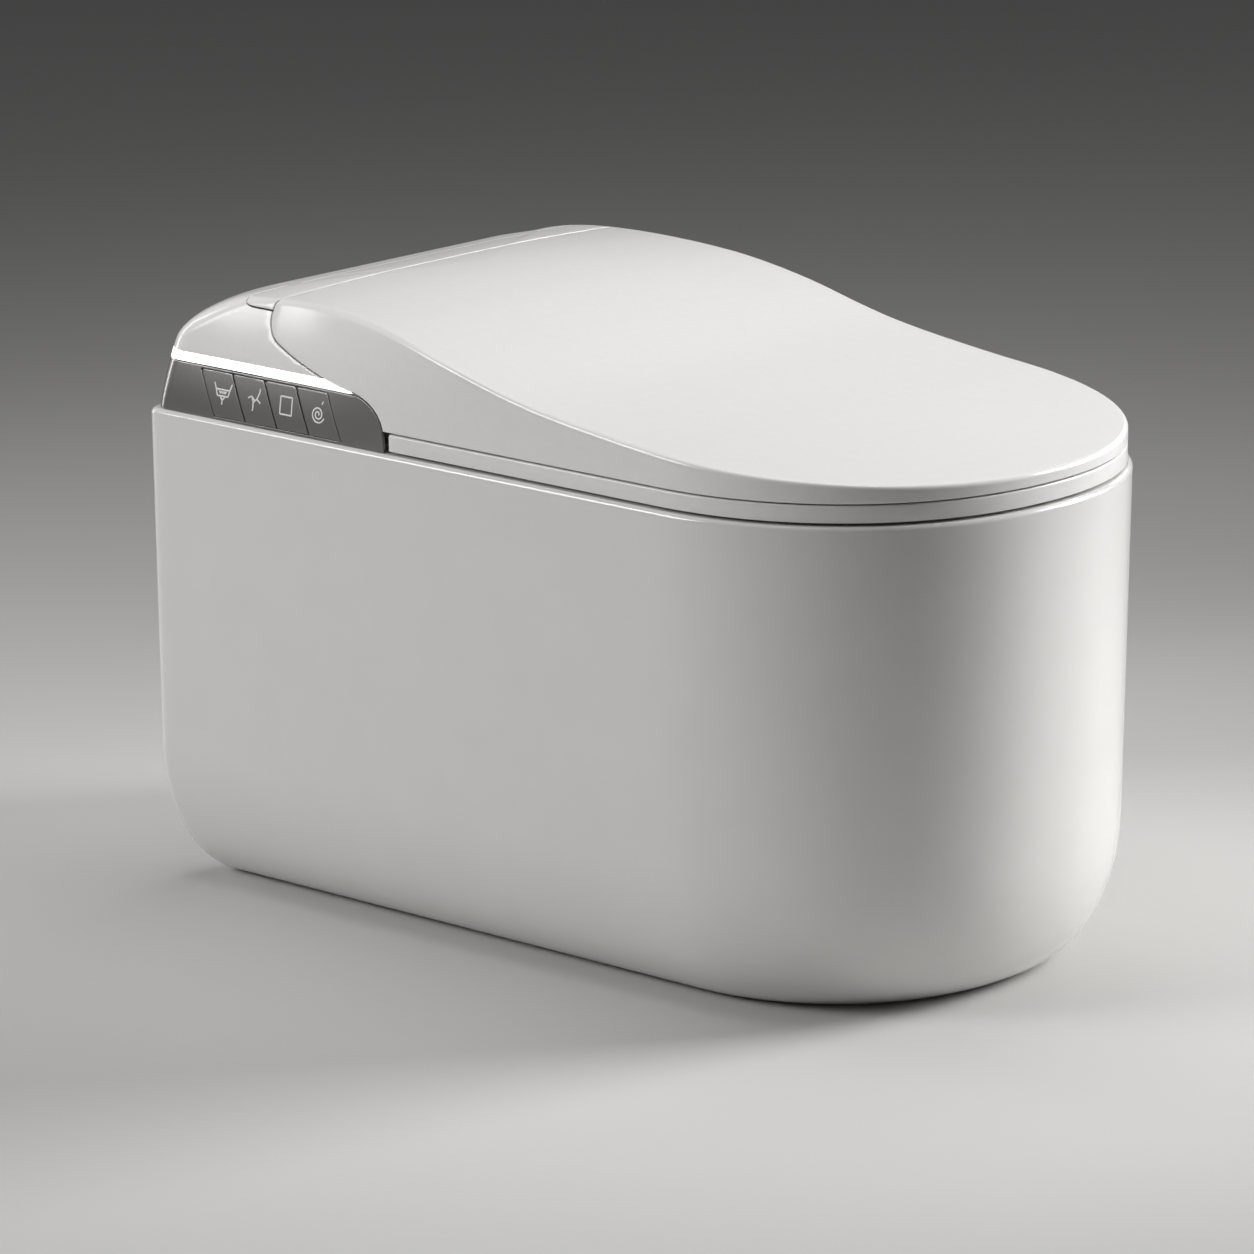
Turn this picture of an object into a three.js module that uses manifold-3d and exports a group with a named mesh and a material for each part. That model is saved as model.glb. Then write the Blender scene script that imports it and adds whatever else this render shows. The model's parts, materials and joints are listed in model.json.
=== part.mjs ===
// Electric bidet toilet: a skirted ceramic pan that carries its own washing seat unit.
// Millimetres, +Z up. The origin is on the floor under the middle of the pan.
// -Y is the front, where the user sits down. The control keys are on the -X side.
import * as THREE from "three";
import { LoftGeometry } from "three/addons/geometries/LoftGeometry.js";
import { mergeVertices } from "three/addons/utils/BufferGeometryUtils.js";
import Module from "manifold-3d";

const wasm = await Module();
wasm.setup();

// ---------------------------------------------------------------- driving dimensions

const WIDTH = 420;
const LENGTH = 710;
const HALF_WIDTH = WIDTH / 2;
const FRONT_Y = -LENGTH / 2;
const REAR_Y = LENGTH / 2;
const NOSE_LENGTH = 202; // the rounded front, ahead of the straight sides
const NOSE_Y = FRONT_Y + NOSE_LENGTH;
const NOSE_POWER = 2.13; // superellipse exponent of the rounded front
const GAP = 0.3; // clearance between touching pieces
const TALL = 500; // above everything

const RIM_Z = 366; // top of the ceramic
const CERAMIC_WALL = 12;
const CERAMIC_TAPER = 5.6; // inward lean of the skirt over its height
const FOOT_INSET = 57; // the skirt tucks under towards the floor
const FOOT_HEIGHT = 103;
const FOOT_REAR_SHARE = 0.6; // the back tucks under less than the sides
const DECK_THICKNESS = 14;
const CORNER_RADIUS = 14; // rear vertical corners of the ceramic

const BAND_INSET = 3.7; // seat, lid and housing stand this far inside the ceramic
const SEAT_BOTTOM = 368.2;
const SEAT_TOP = 380.8;
const SEAT_REAR_Y = 106;
const SEAT_WALL = 3;
const LID_BOTTOM = 382;
const SKIN = 3; // wall thickness of the moulded covers

const HOUSING_BOTTOM = RIM_Z + 0.6;
const PANEL_TOP = 403.6;
const LIGHT_BOTTOM = 404.2;
const LIGHT_TOP = 413;
const SEAM = 1; // visible joint between covers

const LID_AXIS = { y: 216, z: 449 };
const LID_HEEL_RADIUS = 22.8; // the rear edge of the lid runs on this circle about its axis
const SEAT_AXIS = { y: 118, z: 391 };
const HINGE_PIN_RADIUS = 4;

const BOWL = { y: -100, halfWidth: 125, halfLength: 205 };
const SEAT_HOLE = { y: -125, halfWidth: 108, halfLength: 150 };

const POCKET = { left: -48, right: 80, rear: 186, floor: 318 }; // recess for wand and air duct
const KEY_COUNT = 4;
const KEY_PITCH = 32.7;
const KEY_REAR_Y = 284; // foot of the rearmost divider
const KEY_SLANT = 18.5; // dividers lean back by this much over the panel's height
const KEY_GAP = 0.7;
const KEY_THICKNESS = 2.5;

const WAND = { x: -22, angle: 30, radius: 7, length: 125, setback: 16 };
const GATE = { y: 106, z: 362, drop: 23, reach: 31 };
const DUCT = { left: 42, right: 70, height: 20, wall: 2 };
const BLOWER = { x: 86, y: 215, radius: 44, bottom: 371, top: 407 };

// ---------------------------------------------------------------- materials

const finish = (color, roughness, metalness = 0) =>
  new THREE.MeshStandardMaterial({ color, roughness, metalness });

const CERAMIC = finish(0xeceae6, 0.12);
const WHITE_GLOSS = finish(0xf0eeeb, 0.2);
const WHITE_SATIN = finish(0xdedcd8, 0.45);
const PANEL_METAL = finish(0x6b6763, 0.35, 0.8);
const LIGHT_GUIDE = finish(0xffffff, 0.3);
const GREY_PLASTIC = finish(0x8a8d90, 0.5);
const BLACK_PLASTIC = finish(0x232426, 0.5);
const RUBBER = finish(0xbdbbb6, 0.8);
const STEEL = finish(0xb4b6b8, 0.3, 1);
const BRASS = finish(0xc0a060, 0.35, 1);
const COPPER_FILM = finish(0xb87850, 0.4, 1);
const BOARD_GREEN = finish(0x1f5a3c, 0.5);

// ---------------------------------------------------------------- solid helpers

// A closed three.js geometry as a solid. Only positions are kept, and collapsed faces are dropped.
function toSolid(geometry) {
  const bare = new THREE.BufferGeometry();
  bare.setAttribute("position", geometry.getAttribute("position"));
  bare.setIndex(geometry.index);
  const merged = mergeVertices(bare, 1e-3);
  const index = merged.index.array;
  const triVerts = [];
  for (let i = 0; i < index.length; i += 3) {
    const [a, b, c] = [index[i], index[i + 1], index[i + 2]];
    if (a !== b && b !== c && c !== a) triVerts.push(a, b, c);
  }
  const mesh = new wasm.Mesh({
    numProp: 3,
    vertProperties: merged.attributes.position.array,
    triVerts: new Uint32Array(triVerts),
  });
  return new wasm.Manifold(mesh);
}

function toGeometry(solid) {
  const mesh = solid.getMesh();
  const geometry = new THREE.BufferGeometry();
  geometry.setAttribute("position", new THREE.BufferAttribute(mesh.vertProperties, 3));
  geometry.setIndex(new THREE.BufferAttribute(mesh.triVerts, 1));
  geometry.computeVertexNormals();
  return geometry;
}

const join = (first, ...others) => others.reduce((sum, other) => sum.add(other), first);
const cut = (body, ...tools) => tools.reduce((rest, tool) => rest.subtract(tool), body);

function box([x0, x1], [y0, y1], [z0, z1]) {
  const geometry = new THREE.BoxGeometry(x1 - x0, y1 - y0, z1 - z0);
  geometry.translate((x0 + x1) / 2, (y0 + y1) / 2, (z0 + z1) / 2);
  return toSolid(geometry);
}

// A cylinder between two heights along X, Y or Z; "centre" gives the other two coordinates.
function rod(axis, radius, [from, to], centre, segments = 20) {
  const geometry = new THREE.CylinderGeometry(radius, radius, to - from, segments);
  const middle = (from + to) / 2;
  if (axis === "x") geometry.rotateZ(-Math.PI / 2).translate(middle, centre.y, centre.z);
  if (axis === "y") geometry.translate(centre.x, middle, centre.z);
  if (axis === "z") geometry.rotateX(Math.PI / 2).translate(centre.x, centre.y, middle);
  return toSolid(geometry);
}

// A side-view outline in Y and Z, extruded across the object from x0 to x1.
function acrossX(shape, [x0, x1], curveSegments = 12) {
  const geometry = new THREE.ExtrudeGeometry(shape, {
    depth: x1 - x0,
    bevelEnabled: false,
    curveSegments,
  });
  const yzx = new THREE.Matrix4().makeBasis(
    new THREE.Vector3(0, 1, 0),
    new THREE.Vector3(0, 0, 1),
    new THREE.Vector3(1, 0, 0),
  );
  return toSolid(geometry.applyMatrix4(yzx).translate(x0, 0, 0));
}

// A hose or pipe of round section along a smooth route.
function hose(route, radius, steps) {
  const section = new THREE.Shape().absarc(0, 0, radius, 0, Math.PI * 2);
  return new THREE.ExtrudeGeometry(section, {
    steps,
    curveSegments: 5,
    extrudePath: new THREE.CatmullRomCurve3(route.map((point) => new THREE.Vector3(...point))),
  });
}

const mix = (a, b, share) => a + (b - a) * share;
// From "inner" to "outer" measured from the middle plane, on the left (-1) or right (1) side.
const span = (side, inner, outer) => (side < 0 ? [-outer, -inner] : [inner, outer]);
const ease = THREE.MathUtils.smoothstep;

const toilet = new THREE.Group();

function place(name, shape, material, parent = toilet) {
  const geometry = shape.isBufferGeometry ? shape : toGeometry(shape);
  const mesh = new THREE.Mesh(geometry, material);
  mesh.name = name;
  parent.add(mesh);
  return mesh;
}

// ---------------------------------------------------------------- plan outline

// The outline of the whole object seen from above, counterclockwise from the middle of the back.
function planOutline(cornerRadius, detail = 1) {
  const half = [];
  const cornerSteps = Math.round(5 * detail);
  const sideSteps = Math.round(9 * detail);
  const noseSteps = Math.round(16 * detail);
  const straightStart = REAR_Y - cornerRadius;
  half.push(new THREE.Vector2(-HALF_WIDTH / 2, REAR_Y));
  for (let i = 0; i <= cornerSteps; i++) {
    const angle = (i / cornerSteps) * (Math.PI / 2);
    const x = -HALF_WIDTH + cornerRadius * (1 - Math.sin(angle));
    half.push(new THREE.Vector2(x, straightStart + cornerRadius * Math.cos(angle)));
  }
  for (let i = 1; i < sideSteps; i++) {
    half.push(new THREE.Vector2(-HALF_WIDTH, mix(straightStart, NOSE_Y, i / sideSteps)));
  }
  for (let i = 0; i < noseSteps; i++) {
    const angle = (i / noseSteps) * (Math.PI / 2);
    const x = -HALF_WIDTH * Math.cos(angle) ** (2 / NOSE_POWER);
    half.push(new THREE.Vector2(x, NOSE_Y - NOSE_LENGTH * Math.sin(angle) ** (2 / NOSE_POWER)));
  }
  const mirrored = half.map((point) => new THREE.Vector2(-point.x, point.y)).reverse();
  const back = new THREE.Vector2(0, REAR_Y);
  const tip = new THREE.Vector2(0, FRONT_Y);
  return [back, ...half, tip, ...mirrored];
}

// How much a point belongs to the back of the object: 0 on the sides, 1 on the rear wall.
const rearness = (y) => ease(y, 250, REAR_Y);

// A point of the outline moved inward, sides and nose by "side" and the rear wall by "rear".
function movedIn(point, side, rear) {
  const nose = Math.min(point.y - NOSE_Y, 0);
  const x = point.x * (1 - side / HALF_WIDTH);
  return new THREE.Vector2(x, point.y - (nose * side) / NOSE_LENGTH - rear * rearness(point.y));
}

// ---------------------------------------------------------------- ceramic pan

function skirtSection(z, inset, detail) {
  return planOutline(CORNER_RADIUS, detail).map((point) => {
    const moved = movedIn(point, inset, inset * FOOT_REAR_SHARE);
    return new THREE.Vector3(moved.x, moved.y, z);
  });
}

const footInset = (z) => {
  const below = Math.max(FOOT_HEIGHT - z, 0) / FOOT_HEIGHT;
  return CERAMIC_TAPER * (1 - z / RIM_Z) + FOOT_INSET * (1 - Math.sqrt(1 - below * below));
};

function skirt(wall, bottom, top, detail) {
  const sections = [];
  const footSteps = Math.round(6 * detail);
  for (let i = 0; i <= footSteps; i++) {
    const z = FOOT_HEIGHT * (1 - Math.cos((i / footSteps) * (Math.PI / 2)));
    sections.push(skirtSection(i === 0 ? bottom : z, footInset(z) + wall, detail));
  }
  sections.push(skirtSection(top, footInset(top) + wall, detail));
  return sections;
}

// The bowl narrows from its mouth to the sump; each section is a superellipse about x = 0.
function bowlSection(z, halfWidth, halfLength, centreY) {
  const points = [];
  const steps = 28;
  for (let i = 0; i < steps; i++) {
    const angle = (i / steps) * Math.PI * 2 + Math.PI / 2;
    points.push(
      new THREE.Vector3(
        halfWidth * Math.cos(angle),
        centreY + halfLength * Math.sin(angle),
        z,
      ),
    );
  }
  return points;
}

function bowl(wall, mouthZ) {
  const depthSteps = 5;
  const sumpZ = 96;
  const sections = [];
  for (let i = 0; i <= depthSteps; i++) {
    const depth = i / depthSteps;
    const shrink = Math.cos(depth * 1.35) ** 0.8;
    const z = mix(sumpZ - wall, mouthZ, 1 - depth);
    const centreY = mix(BOWL.y, BOWL.y + 15, depth);
    sections.unshift(
      bowlSection(z, BOWL.halfWidth * shrink + wall, BOWL.halfLength * shrink + wall, centreY),
    );
  }
  return toSolid(new LoftGeometry(sections, { capStart: true, capEnd: true }));
}

// The trapway leaves the sump, climbs over the weir and drops to the floor outlet.
const OUTLET_Y = REAR_Y - 305;
function trapway(radius, ends) {
  const route = [
    [0, -95 - ends, 122],
    [0, -50, 96],
    [0, 0, 108],
    [0, 34, 160],
    [0, 80, 196],
    [0, 116, 160],
    [0, 104, 96],
    [0, 64, 50],
    [0, OUTLET_Y, -ends],
  ];
  return toSolid(hose(route, radius, 18));
}

function ceramicPan() {
  const edgeRadius = 4;
  const outer = skirt(0, 0, RIM_Z - edgeRadius, 1);
  outer.push(skirtSection(RIM_Z - 1.2, 1.2, 1), skirtSection(RIM_Z, edgeRadius, 1));
  const outside = toSolid(new LoftGeometry(outer, { capStart: true, capEnd: true }));
  const inner = skirt(CERAMIC_WALL, -1, RIM_Z - DECK_THICKNESS, 0.5);
  const cavity = toSolid(new LoftGeometry(inner, { capStart: true, capEnd: true }));
  const pocketBlock = box(
    [POCKET.left - 10, POCKET.right + 10],
    [BOWL.y + 150, POCKET.rear + 8],
    [POCKET.floor - 10, RIM_Z - 5],
  );
  const pocket = box([POCKET.left, POCKET.right], [50, POCKET.rear], [POCKET.floor, RIM_Z + 5]);
  const fillings = join(bowl(10, RIM_Z), trapway(34, 0), pocketBlock).intersect(outside);
  const bolts = [-1, 1].map((side) => rod("z", 5, [RIM_Z - 30, RIM_Z + 5], boltPlace(side)));
  const supplyHole = rod("z", 14, [RIM_Z - 30, RIM_Z + 5], { x: -40, y: 300 });
  return cut(
    join(cut(outside, cavity), fillings),
    bowl(0, RIM_Z + 1),
    trapway(25, 8),
    pocket,
    supplyHole,
    ...bolts,
  );
}

function boltPlace(side) {
  return { x: side * 185, y: 250 };
}

place("ceramic_pan", ceramicPan(), CERAMIC);

for (const [name, side] of [["floor_bracket_left", -1], ["floor_bracket_right", 1]]) {
  const foot = box(span(side, 96, 132), [150, 190], [0, 4]);
  const upright = box(span(side, 128, 132), [150, 190], [3, 40]);
  const bore = rod("z", 5, [-1, 8], { x: side * 110, y: 170 }, 12);
  place(name, cut(join(foot, upright), bore), STEEL);
}

// ---------------------------------------------------------------- outer skin of lid and housing

// Height of the upper edge along the side: a low flat front, a smooth rise and a high rear dome.
const EDGE_CURVE = new THREE.SplineCurve(
  [
    [-370, 390.2],
    [-355, 391.2],
    [-262, 397.5],
    [-180, 404],
    [-103, 411.8],
    [-25, 423],
    [53, 441.5],
    [93, 450.5],
    [125, 456],
    [165, 460],
    [205, 461.3],
    [250, 459.5],
    [300, 454.5],
    [360, 444],
  ].map(([y, z]) => new THREE.Vector2(y, z)),
).getPoints(160);

function edgeHeight(y) {
  const next = Math.max(EDGE_CURVE.findIndex((point) => point.x >= y), 1);
  const [a, b] = [EDGE_CURVE[next - 1], EDGE_CURVE[next]];
  return mix(a.y, b.y, (y - a.x) / (b.x - a.x));
}

const hump = (y) => ease(y, 30, 210); // 0 on the low front, 1 on the rear dome
// The walls lean in where they are tall, and stay steep under the wide rear shoulder.
const edgeInset = (y) => mix(BAND_INSET, 22, hump(y)) - 11.7 * rearness(y);
const shoulderWidth = (y) => mix(3.5, 7, hump(y)) + 54.7 * rearness(y);
const shoulderHeight = (y) => mix(3.5, 6, hump(y)) + 30 * rearness(y);
const crown = (y) => mix(3, 5, hump(y));
const REAR_LEAN = 4.3;
const WALL_CORNER = { foot: 18, top: 30, shoulder: 46 }; // corner radii as the skin rises
const SPINE_FRONT_Y = NOSE_Y;
const SPINE_REAR_Y = 200;

// The skin solid, moved inward by "offset"; the inner ones start lower and are coarser.
function skin(offset) {
  const detail = offset ? 0.6 : 1;
  const floor = offset ? HOUSING_BOTTOM - 2 : HOUSING_BOTTOM;
  const sections = [];
  for (const rise of [0, 0.4, 0.75, 1]) {
    const outline = planOutline(mix(WALL_CORNER.foot, WALL_CORNER.top, rise), detail);
    sections.push(
      outline.map((point) => {
        const lean = rise ** 1.6;
        const side = mix(BAND_INSET, edgeInset(point.y), lean) + offset;
        const moved = movedIn(point, side, BAND_INSET + REAR_LEAN * lean + offset);
        const top = edgeHeight(moved.y) - shoulderHeight(point.y) - offset;
        return new THREE.Vector3(moved.x, moved.y, mix(floor, top, rise));
      }),
    );
  }
  const shoulderOutline = (angle) =>
    planOutline(mix(WALL_CORNER.top, WALL_CORNER.shoulder, 1 - Math.cos(angle)), detail);
  const shoulder = (point, angle) => {
    const across = shoulderWidth(point.y) * (1 - Math.cos(angle));
    const side = edgeInset(point.y) + offset + across;
    const moved = movedIn(point, side, BAND_INSET + REAR_LEAN + offset + across);
    const drop = shoulderHeight(point.y) * (1 - Math.sin(angle));
    return new THREE.Vector3(moved.x, moved.y, edgeHeight(moved.y) - offset - drop);
  };
  for (const angle of [Math.PI / 6, Math.PI / 3, Math.PI / 2]) {
    sections.push(shoulderOutline(angle).map((point) => shoulder(point, angle)));
  }
  const outline = shoulderOutline(Math.PI / 2);
  for (const inward of [0.3, 0.65, 1]) {
    sections.push(
      outline.map((point) => {
        const edge = shoulder(point, Math.PI / 2);
        const spineY = THREE.MathUtils.clamp(edge.y, SPINE_FRONT_Y, SPINE_REAR_Y);
        const y = mix(edge.y, spineY, inward);
        const z = edgeHeight(y) - offset + crown(y) * (1 - (1 - inward) ** 2);
        return new THREE.Vector3(edge.x * (1 - inward), y, z);
      }),
    );
  }
  return toSolid(new LoftGeometry(sections, { capStart: true }));
}

const skinOutside = skin(0);
const shell = cut(skinOutside, skin(SKIN));

// Side view of everything behind the lid's rear edge: up the panel's round front end, back in
// a long S to the circle about the lid's axis, round it and out through the top. "clear" moves
// it back.
const HEEL_TOP = 15.8; // height of the top skin above the lid's axis
const HEEL_JOIN = 0.89; // angle below the horizontal where the S runs into the circle

function behindLid(clear) {
  const shift = clear * 0.7;
  const radius = LID_HEEL_RADIUS + clear;
  const joinY = LID_AXIS.y + radius * Math.cos(HEEL_JOIN);
  const joinZ = LID_AXIS.z - radius * Math.sin(HEEL_JOIN);
  const foot = HOUSING_BOTTOM - 3;
  const shape = new THREE.Shape();
  shape.moveTo(110 + clear, foot);
  shape.lineTo(113 + clear, LID_BOTTOM - shift);
  shape.bezierCurveTo(117 + shift, 396 - shift, 131 + shift, 404 - shift, 151 + shift, 407 - shift);
  shape.bezierCurveTo(176 + shift, 410.5 - shift, 206 + shift, 419 - shift, joinY, joinZ);
  shape.absarc(LID_AXIS.y, LID_AXIS.z, radius, -HEEL_JOIN, Math.asin(HEEL_TOP / radius), false);
  shape.lineTo(LID_AXIS.y + Math.sqrt(radius ** 2 - HEEL_TOP ** 2), TALL);
  shape.lineTo(REAR_Y + 20, TALL);
  shape.lineTo(REAR_Y + 20, foot);
  shape.closePath();
  return acrossX(shape, [-WIDTH, WIDTH], 10);
}

const slab = (from, to) => box([-WIDTH, WIDTH], [-LENGTH, LENGTH], [from, to]);
const sideOf = (side, from) =>
  side < 0
    ? box([-WIDTH, -from], [-LENGTH, LENGTH], [0, TALL])
    : box([from, WIDTH], [-LENGTH, LENGTH], [0, TALL]);

// ---------------------------------------------------------------- rear housing

const housing = shell.intersect(behindLid(SEAM));

// Side view of the rear top cover: above a level side seam, with a round corner behind.
function topCoverZone(grow) {
  const shape = new THREE.Shape();
  const [low, back, corner] = [452.5 - grow, 272 + grow, 12];
  shape.moveTo(200, low);
  shape.lineTo(back - corner, low);
  shape.quadraticCurveTo(back, low, back, low + corner);
  shape.lineTo(back, TALL);
  shape.lineTo(200, TALL);
  shape.closePath();
  return acrossX(shape, [-WIDTH, WIDTH], 5);
}

place("rear_top_cover", housing.intersect(topCoverZone(0)), WHITE_GLOSS);
place(
  "housing_shell",
  cut(housing, topCoverZone(SEAM), slab(0, LIGHT_TOP + GAP)),
  WHITE_GLOSS,
);

const WRAP = 150; // the light and the dark panel turn the rear corner and end here
const INLET = { x: -30, z: 384, radius: 9 };
const GLAND = { x: 105, z: 384, radius: 7 };
place(
  "rear_service_panel",
  cut(
    housing.intersect(slab(HOUSING_BOTTOM, LIGHT_TOP)),
    sideOf(-1, WRAP - SEAM / 2),
    sideOf(1, WRAP - SEAM / 2),
    rod("y", INLET.radius + 0.5, [300, 400], INLET),
    rod("y", GLAND.radius + 0.5, [300, 400], GLAND),
  ),
  WHITE_SATIN,
);

// Each key is a leaning parallelogram of the panel's skin; "grow" widens it into its window.
function keyZone(index, grow) {
  const footRear = KEY_REAR_Y - index * KEY_PITCH - KEY_GAP / 2 + grow;
  const footFront = KEY_REAR_Y - (index + 1) * KEY_PITCH + KEY_GAP / 2 - grow;
  const [low, high] = [HOUSING_BOTTOM + 1.8 - grow, PANEL_TOP - 1.6 + grow];
  const leanAt = (z) => ((z - HOUSING_BOTTOM) / (PANEL_TOP - HOUSING_BOTTOM)) * KEY_SLANT;
  const shape = new THREE.Shape();
  shape.moveTo(footFront + leanAt(low), low);
  shape.lineTo(footRear + leanAt(low), low);
  shape.lineTo(footRear + leanAt(high), high);
  shape.lineTo(footFront + leanAt(high), high);
  shape.closePath();
  return acrossX(shape, [-WIDTH, -WRAP]);
}

const panelBand = housing.intersect(slab(HOUSING_BOTTOM, PANEL_TOP));
const keyWindows = [];
for (let index = 0; index < KEY_COUNT; index++) keyWindows.push(keyZone(index, GAP));
place("control_panel", cut(panelBand.intersect(sideOf(-1, WRAP)), ...keyWindows), PANEL_METAL);
place("panel_trim_right", panelBand.intersect(sideOf(1, WRAP)), PANEL_METAL);

const lightBand = housing.intersect(slab(LIGHT_BOTTOM, LIGHT_TOP));
place("light_bar_left", lightBand.intersect(sideOf(-1, WRAP)), LIGHT_GUIDE);
place("light_bar_right", lightBand.intersect(sideOf(1, WRAP)), LIGHT_GUIDE);

const KEY_NAMES = ["key_front_wash", "key_rear_wash", "key_stop", "key_flush"];
const keySkin = cut(skinOutside, skin(KEY_THICKNESS));
KEY_NAMES.forEach((name, index) => {
  place(name, keySkin.intersect(keyZone(index, -KEY_GAP / 2 + GAP)), PANEL_METAL);
});
place("key_board", box([-192.9, -191.3], [155, 290], [376, 400]), BOARD_GREEN);

// ---------------------------------------------------------------- lid

const LID_LUG = { inner: 118, outer: 128, radius: 8 };

function lidShell() {
  let lid = cut(shell, behindLid(0), slab(0, LID_BOTTOM));
  for (const side of [-1, 1]) {
    const reach = span(side, LID_LUG.inner, LID_LUG.outer);
    const barrel = rod("x", LID_LUG.radius, reach, LID_AXIS);
    const web = box(reach, [LID_AXIS.y - 7, LID_AXIS.y + 7], [LID_AXIS.z, LID_AXIS.z + 20]);
    const bore = rod("x", HINGE_PIN_RADIUS + GAP, [reach[0] - 1, reach[1] + 1], LID_AXIS);
    lid = cut(join(lid, barrel, web.intersect(skin(1))), bore);
  }
  return lid;
}
place("lid_shell", lidShell(), WHITE_GLOSS);

// The inner panel of the lid is flat over the seat and climbs over the housing's front cover.
const LINER_Z = 385;
const LINER_THICKNESS = 2.5;
function lidLiner() {
  const shape = new THREE.Shape();
  shape.moveTo(FRONT_Y, LINER_Z);
  shape.lineTo(20, LINER_Z);
  shape.bezierCurveTo(70, LINER_Z, 95, 412, 125, 432);
  shape.bezierCurveTo(140, 442, 155, 448, 174, 449);
  shape.lineTo(174, 449 + LINER_THICKNESS);
  shape.bezierCurveTo(153, 450.5, 138, 444.5, 123, 434.3);
  shape.bezierCurveTo(93, 414, 68, LINER_Z + LINER_THICKNESS, 20, LINER_Z + LINER_THICKNESS);
  shape.lineTo(FRONT_Y, LINER_Z + LINER_THICKNESS);
  shape.closePath();
  return acrossX(shape, [-HALF_WIDTH, HALF_WIDTH], 8).intersect(skin(SKIN + 0.5));
}
place("lid_liner", lidLiner(), WHITE_SATIN);
for (const [name, side] of [["lid_buffer_left", -1], ["lid_buffer_right", 1]]) {
  place(name, rod("z", 7, [SEAT_TOP + 0.4, LINER_Z - GAP], { x: side * 150, y: -200 }, 16), RUBBER);
}

// ---------------------------------------------------------------- seat

const seatZone = (back) => box([-WIDTH, WIDTH], [-LENGTH, back], [0, TALL]);

function bandLoft(levels) {
  const sections = levels.map(([inset, z]) =>
    planOutline(18).map((point) => {
      const moved = movedIn(point, inset, inset);
      return new THREE.Vector3(moved.x, moved.y, z);
    }),
  );
  return toSolid(new LoftGeometry(sections, { capStart: true, capEnd: true }));
}

function holeLoft(levels) {
  const sections = levels.map(([grow, z]) =>
    bowlSection(z, SEAT_HOLE.halfWidth + grow, SEAT_HOLE.halfLength + grow, SEAT_HOLE.y),
  );
  return toSolid(new LoftGeometry(sections, { capStart: true, capEnd: true }));
}

const SEAT_ROOF = 373.6; // underside of the seat's top skin
const SEAT_BASE_TOP = 371.8;
const SEAT_LUG = { inner: 150, outer: 165, radius: 8.5 };
const lugSlots = [-1, 1].map((side) => {
  const reach = span(side, SEAT_LUG.inner - 0.6, SEAT_LUG.outer + 0.6);
  return box(reach, [SEAT_REAR_Y - 6, SEAT_REAR_Y + 1], [SEAT_BOTTOM - 2, 377]);
});

function seatTop() {
  const outer = bandLoft([
    [BAND_INSET, SEAT_BOTTOM],
    [BAND_INSET, SEAT_TOP - 1.3],
    [BAND_INSET + 1.3, SEAT_TOP],
  ]).intersect(seatZone(SEAT_REAR_Y));
  const opening = holeLoft([
    [0, SEAT_BOTTOM - 5],
    [0, 376],
    [5, 377.8],
    [38, SEAT_TOP + 0.01],
    [38, SEAT_TOP + 5],
  ]);
  const recess = bandLoft([
    [BAND_INSET + SEAT_WALL, SEAT_BOTTOM - 5],
    [BAND_INSET + SEAT_WALL, SEAT_ROOF],
  ]).intersect(seatZone(SEAT_REAR_Y - SEAT_WALL));
  const innerWall = holeLoft([[SEAT_WALL, SEAT_BOTTOM - 6], [SEAT_WALL, SEAT_ROOF + 1]]);
  return cut(outer, opening, cut(recess, innerWall), ...lugSlots);
}
place("seat_top", seatTop(), WHITE_GLOSS);

// A flat plate that fills the seat's recess between two heights.
function seatPlate(clear, from, to) {
  const plate = bandLoft([
    [BAND_INSET + SEAT_WALL + clear, from],
    [BAND_INSET + SEAT_WALL + clear, to],
  ]).intersect(seatZone(SEAT_REAR_Y - SEAT_WALL - clear));
  return cut(plate, holeLoft([[SEAT_WALL + clear, from - 1], [SEAT_WALL + clear, to + 1]]));
}

function seatArm(side) {
  const reach = span(side, SEAT_LUG.inner, SEAT_LUG.outer);
  const shape = new THREE.Shape();
  shape.moveTo(92, SEAT_BOTTOM);
  shape.lineTo(112, SEAT_BOTTOM);
  shape.lineTo(SEAT_AXIS.y + 8, SEAT_AXIS.z - 3);
  shape.absarc(SEAT_AXIS.y, SEAT_AXIS.z, SEAT_LUG.radius, -0.36, Math.PI, false);
  shape.lineTo(SEAT_REAR_Y + 2, 381);
  shape.lineTo(SEAT_REAR_Y + 1.2, 376);
  shape.lineTo(SEAT_REAR_Y - SEAT_WALL - 0.6, SEAT_BASE_TOP);
  shape.lineTo(92, SEAT_BASE_TOP);
  shape.closePath();
  return acrossX(shape, reach, 8);
}
const seatPinBore = rod("x", HINGE_PIN_RADIUS + GAP, [-HALF_WIDTH, HALF_WIDTH], SEAT_AXIS);
place(
  "seat_base",
  cut(join(seatPlate(0.4, SEAT_BOTTOM, SEAT_BASE_TOP), seatArm(-1), seatArm(1)), seatPinBore),
  WHITE_SATIN,
);
place("seat_heater_film", seatPlate(6, 372.4, 373.2), COPPER_FILM);

const BUFFER_PLACES = [
  ["seat_buffer_front_left", -150, -215],
  ["seat_buffer_front_right", 150, -215],
  ["seat_buffer_rear_left", -170, 60],
  ["seat_buffer_rear_right", 170, 60],
];
for (const [name, x, y] of BUFFER_PLACES) {
  place(name, rod("z", 8, [RIM_Z + GAP, SEAT_BOTTOM - GAP], { x, y }, 16), RUBBER);
}

// ---------------------------------------------------------------- base of the seat unit

const PLATE_BOTTOM = RIM_Z + 0.5;
const PLATE_TOP = PLATE_BOTTOM + 3;
const BOARD_POSTS = [[-64, 244], [24, 244], [-64, 322], [24, 322]];
const BOARD_Z = 400;

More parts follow.
